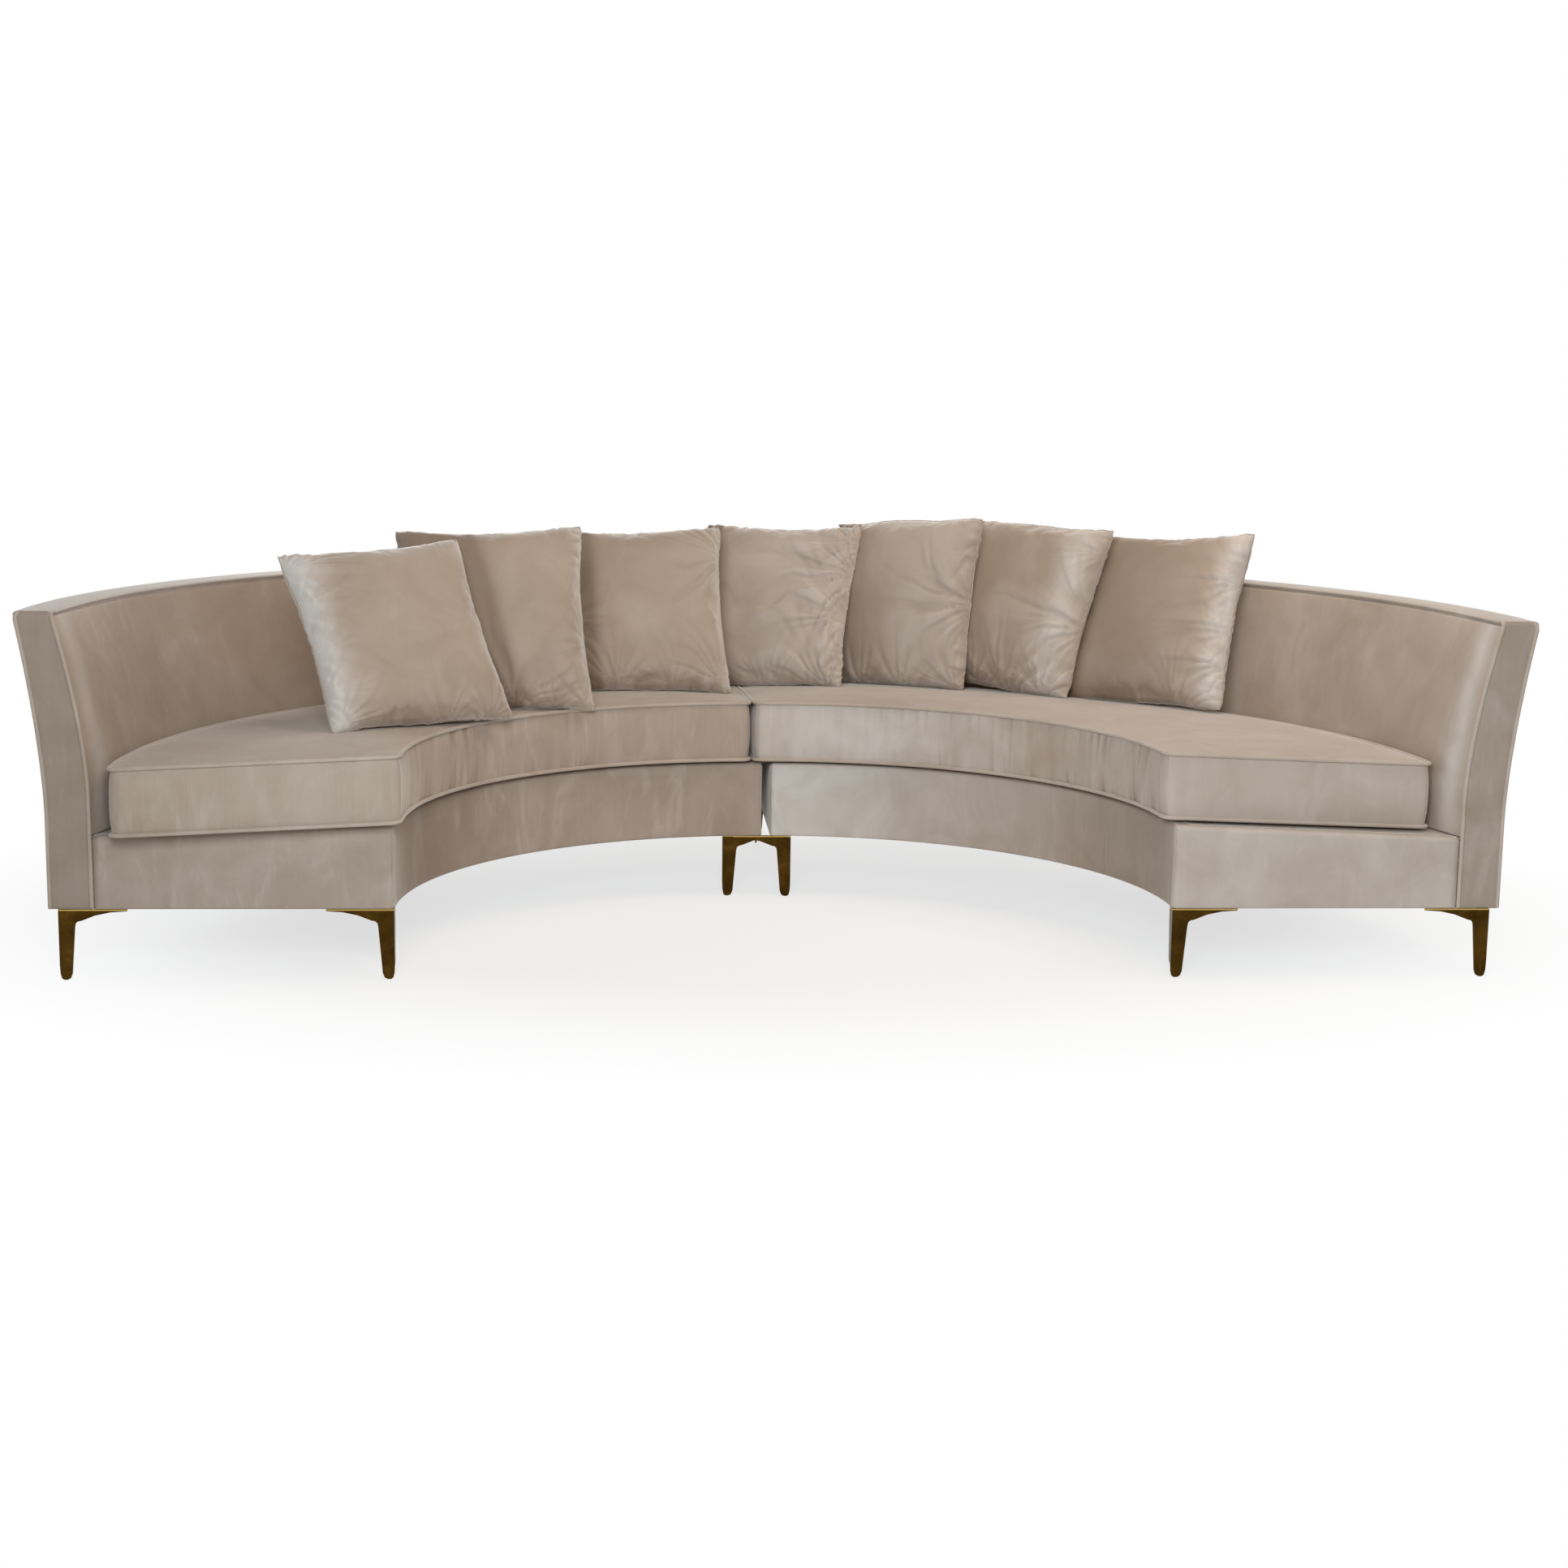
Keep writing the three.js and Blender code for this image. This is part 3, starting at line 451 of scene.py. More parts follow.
def gold():
    """Dark antique gold, unevenly polished, with a painted highlight along the top edge of the plate, where
    it meets the base.
    """
    n = Nodes("leg_gold")
    cloud = n.noise(n.coords, scale=22, detail=4, roughness=0.6, distortion=0.5)
    scratch = n.noise(n.stretched((1, 1, 0.05)), scale=260, roughness=0.6)
    colour = n.ramp(cloud, (0.3, srgb(54, 37, 10)), (0.6, srgb(76, 54, 18)), (0.8, srgb(98, 72, 32)))
    height = n.add("ShaderNodeSeparateXYZ", {0: n.coords}).outputs["Z"]
    # Painted highlight: a bright band along the plate's top edge
    edge = n.math("GREATER_THAN", height, BASE_BOTTOM - 0.0030)
    rough = n.math("ADD", n.math("MULTIPLY", cloud, 0.2), n.scaled(scratch, 0.12, 0.12))
    return n.shade(Base_Color=n.mix(edge, colour, srgb(190, 160, 96)), Metallic=1.0, Roughness=rough,
                   Normal=n.bump(scratch, strength=0.06, distance=0.0002))


def steel():
    n = Nodes("bolt_steel")
    cloud = n.noise(n.coords, scale=160, roughness=0.6)
    return n.shade(Base_Color=n.ramp(cloud, (0.3, srgb(120, 120, 118)), (0.7, srgb(190, 190, 188))),
                   Metallic=1.0, Roughness=n.scaled(cloud, 0.25, 0.25))


COVER = velvet("velvet_cover", [(157, 141, 127), (172, 156, 143), (186, 172, 161)], silver=0.12)
PAD = velvet("velvet_pad", [(161, 143, 127), (172, 155, 140), (183, 167, 153)],
             ribs_share=0.12, marks_share=0.15, silver=0.4, turn=(0.55, 0.85))
BAND = velvet("velvet_band", [(149, 133, 120), (161, 146, 133), (174, 160, 149)],
              ribs_share=0.12, marks_share=0.2, silver=0.3)
CUSHION = velvet("velvet_cushion", [(165, 147, 132), (177, 160, 146), (188, 173, 160)], silver=0.12)
PILLOW_VELVET = velvet("velvet_pillow", [(162, 145, 129), (173, 156, 141), (183, 168, 154)],
                       ribs_share=0.04, marks_share=0.06, silver=0.85)
# Lighter than the cover: painted highlight where the round piping catches the light
PIPED = velvet("velvet_piping", [(169, 153, 139), (183, 168, 155), (197, 184, 173)],
               ribs_share=0.05, marks_share=0.1, silver=0.4)
NODE_MATERIALS = {
    "rail": timber(), "post": timber(), "webbing": strapping(), "dust_cover": cambric(),
    "deck_cover": COVER, "leg": gold(), "bolt": steel(),
}


# Nodes of the frame that stay in sight
def dress_nodes():
    for name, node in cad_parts.items():
        for word, material in NODE_MATERIALS.items():
            if word in name:
                node.data.materials.clear()
                node.data.materials.append(material)
        if "_leg_" in name:
            bevel = node.modifiers.new("edges", "BEVEL")
            bevel.width = 0.0012
            bevel.segments = 2
            bevel.angle_limit = math.radians(35)
            node.data.set_sharp_from_angle(angle=math.radians(50))


# Base
BASE_ROUND = 0.011
HEM_ROUND, HEM_INSET, HEM_RISE = 0.005, 0.0058, 0.03
FACE_START = 0.006  # height of the padded face above the base's underside
COVER_UNDER_CUSHION = 0.0425  # how far in the cover of the base runs over its top
COVER_THICKNESS = 0.0015
SEAM_R = 0.0014
BASE_SWELL, BASE_WAVES, BASE_DIMPLES = 0.0014, 0.0006, 0.0005  # of the padded faces


def base_corner(inset):
    """The corner of the base's plan between its end face and its front, this far in from both."""
    r = INNER_R + inset
    return np.array([math.sqrt(r * r - inset * inset), inset])


def base_path(inset):
    """Plan of the base's faces from the back of the end face, round the front to the joint face."""
    corner, centre = base_corner(inset), base_corner(BASE_ROUND)
    far = LINE_R - PIPING_R - FIT
    half = [(max(x, corner[0]), inset) for x in np.linspace(far, INNER_R + BASE_ROUND, 44)]
    middle, rest = (corner, 0) if inset >= BASE_ROUND else (centre, BASE_ROUND - inset)
    for turn in np.linspace(-QUARTER, math.atan2(-centre[1], -centre[0]), 8)[1:]:
        half.append((middle[0] + rest * math.cos(turn), middle[1] + rest * math.sin(turn)))
    r = INNER_R + inset
    for angle in np.linspace(math.atan2(centre[1], centre[0]), QUARTER / 2, 75)[1:]:
        angle = max(angle, math.asin(inset / r))
        half.append((r * math.cos(angle), r * math.sin(angle)))
    return np.array(half + [(y, x) for x, y in reversed(half[:-1])])


def base_rows():
    """The rows of points of a base's cover, from its hem up its padded face and over: how far in each lies,
    its share of the height and how far it is off that height."""
    rows = [(HEM_INSET, 0, HEM_RISE), (HEM_INSET, 0, 0.0005)]
    for t in np.linspace(0, QUARTER, 5):
        rows.append((HEM_ROUND * (1 - math.sin(t)), 0, HEM_ROUND * (1 - math.cos(t))))
    for share in np.linspace(0.04, 1, 14):
        rows.append((0.0, share, FACE_START * (1 - share) - BASE_ROUND * share))
    for t in np.linspace(0, QUARTER, 7)[1:]:
        rows.append((BASE_ROUND * (1 - math.cos(t)), 1, -BASE_ROUND * (1 - math.sin(t))))
    for inset in (0.018, 0.028, 0.042):
        rows.append((inset, 1, 0))
    rows.append((COVER_UNDER_CUSHION, 1, -0.0035))
    return rows


def base_piece(prefix, side, body):
    rows = []
    for inset, share, off in base_rows():
        plan = base_path(inset)
        height = BASE_BOTTOM + (deck_z(np.hypot(*plan.T)) - BASE_BOTTOM) * share + off
        world = to_world(np.column_stack([plan, height]), side)
        if inset == 0 and share > 0:  # the padded faces swell a little and aren't quite even
            x, y, z = world.T
            swell = BASE_SWELL * math.sin(math.pi * share) + BASE_WAVES * noise3(x * 9, y * 9, z * 6, 5)
            swell = swell + BASE_DIMPLES * np.maximum(0, noise3(x * 34, y * 34, z * 5, 6))
            tangent = np.gradient(world[:, :2], axis=0)
            normal = np.column_stack([tangent[:, 1], -tangent[:, 0]]) * side
            world[:, :2] += unit(normal) * swell[:, None]
        rows.append(world)
    points = np.array(rows)
    index = np.arange(points.shape[0] * points.shape[1]).reshape(points.shape[:2])
    base_seams(prefix, side, body)
    points = points.reshape(-1, 3)
    r, from_end, from_joint = along_ring(points, side)
    at_end = points[:, 1] < END_Y + 0.012
    curved = (r < INNER_R + 0.03) & ~at_end
    # Painted light: painted sheen on the end face, painted sheen (slight painted shade on the left) on the
    # curved front towards the joint, and painted brown shade on it near the corner
    painted_light = BASE_END_PAINTED_SHEEN[side] * at_end + curved * (
        BASE_JOINT_PAINTED_LIGHT[side] * hump(from_joint, 0.50) + BASE_CORNER_PAINTED_SHADE[side] * hump(from_end - 0.12, 0.32))
    piece = mesh_piece(f"{prefix}_base_upholstery", points, grid_faces(index, flip=True), body, COVER,
                       [f"{prefix}_base_cover"], painted_light=painted_light)
    face_away(piece.data, Vector((side * 0.9, END_Y + 0.9, 0.25)))
    solidify = piece.modifiers.new("cloth", "SOLIDIFY")
    solidify.thickness = COVER_THICKNESS
    solidify.offset = -1


def face_away(mesh, inside):
    """Turns an open sheet's faces away from a point behind it."""
    total = sum((face.center - inside).dot(face.normal) * face.area for face in mesh.polygons)
    if total < 0:
        mesh.flip_normals()


def base_seams(prefix, side, body):
    """The seams down the two inner corners of the base."""
    x, y = base_corner(BASE_ROUND) - BASE_ROUND * math.sqrt(0.5)
    rise = np.linspace(BASE_BOTTOM + FACE_START, deck_z(INNER_R) - 0.006, 20)
    paths = [np.column_stack([np.full(20, a), np.full(20, b), rise]) for a, b in ((x, y), (y, x))]
    points, faces = joined(*(tube(path, SEAM_R, 6) for path in paths))
    mesh_piece(f"{prefix}_base_seams", to_world(points, side), faces, body, PIPED)


# Back
SHARES = np.linspace(0, 1, 97)
EASED = np.unique(np.concatenate([np.linspace(0, 0.1, 17), np.linspace(0.1, 1, 85)]))
PANEL_DEPTH = 0.008  # of the end panel, and of the one at the joint
PANEL_ROUNDS = (0.007, 0.011)  # of the panel's top corners, inner and outer
PANEL_ROLL, PANEL_PADDING = 0.0055, 0.0014  # how far its rim rolls back, and how thickly it is padded
PAD_WAVES, BAND_CROWN = 0.0009, 0.0012
SKIN = 0.005  # thickness of the outside back
BAND_INSET = 0.001  # of the border inside the frame's own
PIPING_BEND = 0.020  # height over which the piping of the end panel turns at the top


def pad_piece(prefix, side, body):
    rise = np.linspace(FOOT_Z, BAND_UNDERSIDE - FIT, 30)

    def profile(angle):
        face = pad_face(rise, angle)
        back = line_r(rise) + PIPING_R
        corners = [(face[0], rise[0], 0.006 if face[0] < back[0] - 0.02 else 0.001)]
        corners += [(r, z, 0) for r, z in zip(face[1:-1], rise[1:-1])]
        corners.append((face[-1], rise[-1], 0.004 if face[-1] < back[-1] - 0.012 else 0.001))
        corners += [(r, z, 0) for r, z in zip(back[::-6], rise[::-6])]
        corners.append((back[0], rise[0], 0))
        return rounded(corners)

    points, faces = swept(profile, EASED, PANEL_DEPTH + FIT)
    world = to_world(points, side)
    x, y, z = world.T
    world[:, 0] -= side * PAD_WAVES * noise3(x * 4, y * 4, z * 3, 11)
    from_end = along_ring(world, side)[1]
    # Painted light: a band of painted silver sheen behind the end piping, over a faint painted shade on the
    # left and painted sheen on the right
    painted_light = PAD_BAND_PAINTED_SHEEN[side] * hump(from_end - 0.055, 0.030) + PAD_PAINTED_LIGHT[side]
    piece = mesh_piece(f"{prefix}_inside_back", world, faces, body, PAD, [f"{prefix}_inside_back_pad"],
                       angle=60, painted_light=painted_light)


def outside_piece(prefix, side, body):
    rise = np.linspace(OUTER_FLARE_START, BAND_UNDERSIDE - FIT, 20)

    def profile(_):
        corners = [(OUTER_R, BASE_BOTTOM, 0.002), (OUTER_R, 0.22, 0), (OUTER_R, 0.29, 0)]
        corners += [(outer_r(z), z, 0) for z in rise[:-1]]
        corners += [(outer_r(rise[-1]), rise[-1], 0.002), (outer_r(rise[-1]) - SKIN, rise[-1], 0)]
        corners += [(outer_r(z) - SKIN, z, 0) for z in rise[-4::-4]]
        corners.append((OUTER_R - SKIN, BASE_BOTTOM, 0))
        return rounded(corners)

    points, faces = swept(profile, SHARES, PANEL_DEPTH + FIT)
    mesh_piece(f"{prefix}_outside_back_cover", to_world(points, side), faces, body, COVER,
               [f"{prefix}_outside_back"], angle=60)


def band_piece(prefix, side, body):
    """The border band: along the top of the back, and down the end and the joint face as flat panels."""
    outer = float(outer_r(BACK_TOP)) - BAND_INSET
    low_outer = float(outer_r(BAND_UNDERSIDE)) - BAND_INSET
    top = BACK_TOP - BAND_INSET

    def profile(angle):
        inner = float(pad_face(BACK_TOP, angle)) + BAND_INSET
        crown = []
        for t in (0.25, 0.5, 0.75):
            crown.append((inner + (outer - inner) * t, top + BAND_CROWN * math.sin(math.pi * t), 0))
        return rounded([(inner, BAND_UNDERSIDE, 0), (inner, top, 0.007), *crown, (outer, top, 0.010),
                        (low_outer, BAND_UNDERSIDE, 0)])

    strip = swept(profile, EASED, PANEL_DEPTH / 2)
    end = panel(line_r, False)
    joint = panel(lambda z: pad_face(z, QUARTER), True)
    points, faces = joined(strip, end, joint)
    mesh_piece(f"{prefix}_back_band", to_world(points, side), faces, body, BAND, [f"{prefix}_back_border"],
               angle=50)


def rounded_edge(z, radius):
    """How far a side draws in at height z, below a top corner of this radius."""
    up = np.clip((z - (BACK_TOP - radius)) / radius, 0, 1)
    return radius * (1 - np.sqrt(1 - up * up))


def panel(face_r, at_joint):
    """The padded end panel, or the one at the joint, as a closed form of two grids."""
    rise = np.concatenate([BASE_BOTTOM + np.array([0, 0.0015, 0.004, 0.009]),
                           np.linspace(BASE_BOTTOM + 0.02, BACK_TOP - 0.02, 40),
                           BACK_TOP - 0.02 * np.cos(np.linspace(0, QUARTER, 12))[1:]])
    shares = 0.5 - 0.5 * np.cos(np.linspace(0, math.pi, 15))
    Z, S = np.meshgrid(rise, shares, indexing="ij")
    inner = np.where(Z > FOOT_Z, face_r(Z), LINE_R) + rounded_edge(Z, PANEL_ROUNDS[0])
    outer = outer_r(Z) - rounded_edge(Z, PANEL_ROUNDS[1])
    R = inner + (outer - inner) * S
    edge = np.minimum(np.minimum(R - inner, outer - R), np.minimum(Z - BASE_BOTTOM, BACK_TOP - Z))
    near = np.clip(1 - edge / 0.008, 0, 1)
    front = PANEL_ROLL * near ** 2 - PANEL_PADDING * (1 - np.exp(-edge / 0.014))
    points = []
    for depth in (front, np.full_like(front, PANEL_DEPTH)):
        flat = (depth, R, Z) if at_joint else (R, depth, Z)
        points.append(np.stack(flat, -1).reshape(-1, 3))
    index = np.arange(Z.size).reshape(Z.shape)
    rim = grid_rim(index)
    faces = grid_faces(index, flip=True) + grid_faces(Z.size + index) + band_faces(Z.size + rim, rim)
    return np.concatenate(points), faces


def back_piping(prefix, side, body):
    """Piping up both edges of the end panel, its inner line turning along the top of the inside back."""
    bend_z, proud = BACK_TOP - PIPING_BEND, 0.0006
    rise = np.linspace(BASE_BOTTOM + 0.003, bend_z, 60)
    upright = [(float(line_r(z)) + 0.0010, -proud, z) for z in rise]
    for t in np.linspace(0, 1, 10)[1:]:
        z = bend_z + 0.0165 * math.sin(t * QUARTER)
        over = 0.0166 * (1 - math.cos(t * QUARTER)) - proud
        upright.append((float(line_r(z)) + 0.0010 + 0.001 * t, over, z))
    along = []
    for share in EASED[2:]:
        r = float(pad_face(BACK_TOP, share * QUARTER)) + 0.0015
        start = math.asin(0.017 / r)
        angle = start + (QUARTER - start - 0.004) * (share - EASED[2]) / (1 - EASED[2])
        along.append((r * math.cos(angle), r * math.sin(angle), BACK_TOP - 0.0035))
    thick = np.concatenate([np.full(len(upright), PIPING_R), np.full(len(along), 0.0030)])
    thick = np.convolve(np.pad(thick, 4, "edge"), np.ones(9) / 9, "valid")
    outer = [(float(outer_r(z)) - PIPING_R * 0.9, -proud, z) for z in rise]
    for t in np.linspace(0, 1, 9)[1:]:
        z = bend_z + 0.016 * math.sin(t * QUARTER)
        draw = PIPING_R * 0.9 + 0.012 * (1 - math.cos(t * QUARTER))
        outer.append((float(outer_r(z)) - draw, 0.005 * t - proud, z))
    points, faces = joined(tube(upright + along, thick), tube(outer, PIPING_R))
    mesh_piece(f"{prefix}_back_piping", to_world(points, side), faces, body, PIPED)


# Seat cushions
SEAT_ROUND = 0.022  # of the plan's corners
SEAT_PUFF = 0.0045  # of the top above the upper seam
SEAT_SETTLED = 0.72  # share of the frame's crown
SEAT_WAVES, SEAT_DENTS = 0.0012, 0.0010  # of the top
BOXING_INSET, BOXING_BULGE, GATHERS = 0.0030, 0.0060, 0.0026
NEAR_EDGE = np.array([0, 0.004, 0.008, 0.012, 0.017, 0.022, 0.028])
BOXING_ROWS = np.concatenate([[0.022, 0.05], np.linspace(0.1, 0.9, 15), [0.95, 0.978]])


def corner_map(u, w):
    """Moves the square corner at (0, 0) of a plan onto an arc."""
    a, b = np.maximum(SEAT_ROUND - u, 0), np.maximum(SEAT_ROUND - w, 0)
    both = (a > 0) & (b > 0)
    share = np.maximum(a, b) / np.maximum(np.hypot(a, b), 1e-12)
    return np.where(both, SEAT_ROUND - a * share, u), np.where(both, SEAT_ROUND - b * share, w)


def seat_plan(across, along, side):
    """Plan points of shares across and along, with rounded corners, turned as the cushion lies."""
    depth = SEAT_BACK_R - SEAT_FRONT_R
    u = across * depth
    r0 = SEAT_FRONT_R + u
    length = QUARTER * r0 + SEAT_JOINT_OVERHANG
    w = along * length
    back, far = u > depth / 2, w > length / 2
    u, w = corner_map(np.where(back, depth - u, u), np.where(far, length - w, w))
    u, w = np.where(back, depth - u, u), np.where(far, length - w, w)
    return SEAT_FRONT_R + u, w / r0 + side * SEAT_TURN


def dense(count, edge, length):
    """Shares of a length, close together near both ends."""
    ends, near = NEAR_EDGE / length, edge / length
    return np.unique(np.round(np.concatenate([ends, np.linspace(near, 1 - near, count), 1 - ends]), 6))


def seat_seam_z(r):
    return deck_z(r) + SEAT_LIFT


def gathers(s, h, front, seed):
    """Small upright folds in the boxing, stronger near the seams and on the curved front."""
    fine = 1 - 2 * np.abs(noise3(s / 0.013, h * 1.1, seed, 21))
    wide = noise3(s / 0.034, h * 0.8, seed, 22)
    where = np.clip(0.45 + 0.9 * noise3(s / 0.17, 0, seed, 23), 0, 1.2)
    seam = 0.5 + 0.5 * np.abs(2 * h - 1) ** 2
    return GATHERS * (fine + wide) * where * seam * (0.25 + 0.85 * front)


def seat_faces_top_and_under(A, B, X, Y, side):
    """Heights of a cushion's top and underside over shares and places of its plan."""
    depth, mean = SEAT_BACK_R - SEAT_FRONT_R, QUARTER * (SEAT_BACK_R + SEAT_FRONT_R) / 2
    edge = np.minimum(np.minimum(A, 1 - A) * depth, np.minimum(B, 1 - B) * mean)
    puff = 1 - np.exp(-edge / 0.016)
    seam = seat_seam_z(np.hypot(X, Y))
    crown = seat_crown(A, B)
    dents = SEAT_DENTS * noise3(X * 16, Y * 16, side, 32) * np.exp(-edge / 0.07)
    ripple = SEAT_WAVES * noise3(X * 5, Y * 5, side, 31) + dents
    swell = SEAT_PUFF * puff + crown * SEAT_SETTLED * (0.25 + 0.75 * puff)
    top = seam + SEAT_THICKNESS + swell + ripple * puff
    under = seam - np.minimum(SEAT_LIFT - 0.0012, 0.003 * puff + crown * 0.6)
    return top, under


def seat_piece(prefix, side, body):
    across = dense(40, 0.04, SEAT_BACK_R - SEAT_FRONT_R)
    along = dense(300, 0.034, QUARTER * (SEAT_BACK_R + SEAT_FRONT_R) / 2)
    A, B = np.meshgrid(across, along, indexing="ij")
    R, angle = seat_plan(A, B, side)
    X, Y = R * np.cos(angle), R * np.sin(angle)
    top, under = seat_faces_top_and_under(A, B, X, Y, side)
    size = A.size
    index = np.arange(size).reshape(A.shape)
    rim = grid_rim(index.T)
    plan = np.column_stack([X.ravel()[rim], Y.ravel()[rim]])
    tangent = np.roll(plan, -1, 0) - np.roll(plan, 1, 0)
    normal = unit(np.column_stack([tangent[:, 1], -tangent[:, 0]]))
    middle = (SEAT_FRONT_R + SEAT_BACK_R) / 2 * math.sqrt(0.5)
    if np.sum((plan - middle) * normal) < 0:
        normal = -normal
    step = np.linalg.norm(np.roll(plan, -1, 0) - plan, axis=1)
    s = np.concatenate([[0], np.cumsum(step)[:-1]])
    seam = seat_seam_z(np.hypot(*plan.T))
    front = (rim < len(along)).astype(float)
    boxing, fold_painted_light = [], []
    for h in BOXING_ROWS:
        folds = gathers(s, h, front, side * 3.7)
        out = -BOXING_INSET + BOXING_BULGE * (1 - abs(2 * h - 1) ** 2.6) + folds
        # Painted highlight on the gathers' raised folds, painted shade in their hollows
        fold_painted_light.append(np.clip(90 * folds, -0.30, 0.25))
        boxing.append(np.column_stack([plan + normal * out[:, None], seam + h * SEAT_THICKNESS]))
    faces_of = [np.column_stack([X.ravel(), Y.ravel(), z.ravel()]) for z in (top, under)]
    points = np.concatenate([*faces_of, *boxing])
    rings = 2 * size + np.arange(len(boxing) * len(rim)).reshape(len(boxing), len(rim))
    faces = grid_faces(index) + grid_faces(size + index, flip=True)
    for low, high in zip([size + rim, *rings], [*rings, rim]):
        faces += band_faces(low, high)
    world = to_world(points, side)
    r, from_end, from_joint = along_ring(world, side)
    # Painted light: painted sheen on the end, on the curved front towards the joint (slight painted shade
    # there on the left) and on the top, none on the underside
    painted_light = (SEAT_END_PAINTED_SHEEN[side] * (from_end < 0.075)
           + SEAT_FRONT_PAINTED_LIGHT[side] * (r < SEAT_FRONT_R + 0.03) * hump(from_joint - 0.18, 0.34))
    painted_light[:size] = SEAT_TOP_PAINTED_SHEEN[side]
    painted_light[size:2 * size] = 0
    painted_light[2 * size:] += np.concatenate(fold_painted_light)
    piece = mesh_piece(f"{prefix}_seat", world, faces, body, CUSHION, [f"{prefix}_seat_cushion"],
                       angle=70, painted_light=painted_light)
    cords = []
    spread = np.concatenate([[True], np.diff(s) > 0.0015])
    for height in (0.0, SEAT_THICKNESS):
        wobble = 0.0004 * noise3(s / 0.05, 0, side * 2 + height * 9, 41)
        path = np.column_stack([plan + normal * (0.0012 + wobble)[:, None], seam + height])
        cords.append(tube(path[spread], PIPING_R, closed=True))
    points, faces = joined(*cords)
    mesh_piece(f"{prefix}_seat_piping", to_world(points, side), faces, body, PIPED)


def seat_top(x, y):
    """Height of the cushions' tops at places in the world."""
    best = np.full(np.shape(x), -1.0)
    for side in (-1, 1):
        local_x, local_y = side * np.asarray(x) - JOINT_X, np.asarray(y) - END_Y
        r = np.hypot(local_x, local_y)
        angle = np.arctan2(local_y, local_x) - side * SEAT_TURN
        across = (r - SEAT_FRONT_R) / (SEAT_BACK_R - SEAT_FRONT_R)
        along = angle / (QUARTER + SEAT_JOINT_OVERHANG / np.maximum(r, 0.1))
        inside = (across > 0) & (across < 1) & (along > 0) & (along < 1)
        crown = seat_crown(np.clip(across, 0, 1), np.clip(along, 0, 1))
        height = seat_seam_z(r) + SEAT_THICKNESS + SEAT_PUFF + SEAT_SETTLED * crown
        best = np.where(inside, np.maximum(best, height), best)
    return best


# Pillows
PILLOW_CAP = 0.010  # how far the filling may move a point
PILLOW_GAP = 0.0006  # between a pillow's foot and the seat
PILLOW_SINK = 0.02  # the most that a pillow's lower edge sinks
PILLOW_SEAM_R, PUCKER, SCALLOP = 0.0015, 0.0065, 0.012
FILLING_FRAMES = 20

# Folds that run in from a pillow's rim: across and up from its middle in half widths, reach and depth
PILLOW_PULLS = {
    "pillow_1": [(-1, 0.8, 0.12, 0.008), (-1, 0.35, 0.08, 0.008), (-1, -0.15, 0.08, 0.007),
                 (-1, -0.6, 0.09, 0.007), (-0.9, -0.95, 0.11, 0.007), (0.25, -1, 0.06, 0.011),
                 (0.7, -1, 0.06, 0.010)],
    "pillow_2": [(0.1, -1, 0.17, 0.008), (0.9, -0.95, 0.12, 0.006), (1, -0.3, 0.08, 0.005),
                 (0.5, -1, 0.07, 0.008)],
    "pillow_3": [(-1, -0.2, 0.13, 0.006), (-0.3, -1, 0.12, 0.007), (1, 0.55, 0.11, 0.008),
                 (0.9, -0.9, 0.11, 0.007), (0.3, -1, 0.06, 0.008)],
    "pillow_4": [(1.0, 0.35, 0.28, 0.010), (1.0, -0.2, 0.22, 0.008), (1, 0.7, 0.15, 0.007),
                 (0.85, -1, 0.17, 0.008), (0.1, -1, 0.10, 0.005)],
    "pillow_5": [(0.2, -1, 0.10, 0.008), (1, 0.0, 0.15, 0.008), (-0.3, -1, 0.09, 0.008),
                 (0.9, -0.95, 0.10, 0.006)],
    "pillow_6": [(1, -0.15, 0.17, 0.008), (0.2, -1, 0.13, 0.010), (0.7, -1, 0.12, 0.010),
                 (1, 0.7, 0.10, 0.004), (-0.2, -1, 0.08, 0.008)],
    "pillow_7": [(1, -0.1, 0.12, 0.008), (1, 0.4, 0.10, 0.006), (0.5, -1, 0.10, 0.007),
                 (1, -0.5, 0.11, 0.008)],
}

# Upright bands of painted light, painted silver sheen where the amount is over 0 and painted brown shade
# where it is under: place across in half widths, reach and amount
PILLOW_PAINTED_LIGHT = {
    "pillow_1": [(-1.0, 0.25, 1.3)],
    "pillow_2": [(1.0, 0.12, 0.3)],
    "pillow_3": [(1.0, 0.15, 0.3)],
    "pillow_4": [(0.5, 0.80, 0.35)],
    "pillow_5": [(0.60, 0.55, 0.30)],
    "pillow_6": [(0.72, 0.24, 0.60)],
    "pillow_7": [(0.90, 0.18, 0.95), (-0.30, 0.75, -0.36)],
}

# The line behind which a pillow lies under its neighbour and gets a painted brown shadow of it: place across,
# slant and how dark that painted shadow is
PILLOW_NEIGHBOUR_SHADOW = {
    "pillow_2": (-0.05, -0.22, -0.50),
    "pillow_3": (-0.58, 0, -0.52),
    "pillow_4": (-0.62, -0.2, -0.60),
    "pillow_5": (-0.72, 0, -0.62),
    "pillow_6": (-0.61, -0.2, -0.62),
    "pillow_7": (-0.82, 0.08, -0.50),
}
HIDDEN_CORNER_DROOP = {"pillow_5": 0.034, "pillow_6": 0.026}


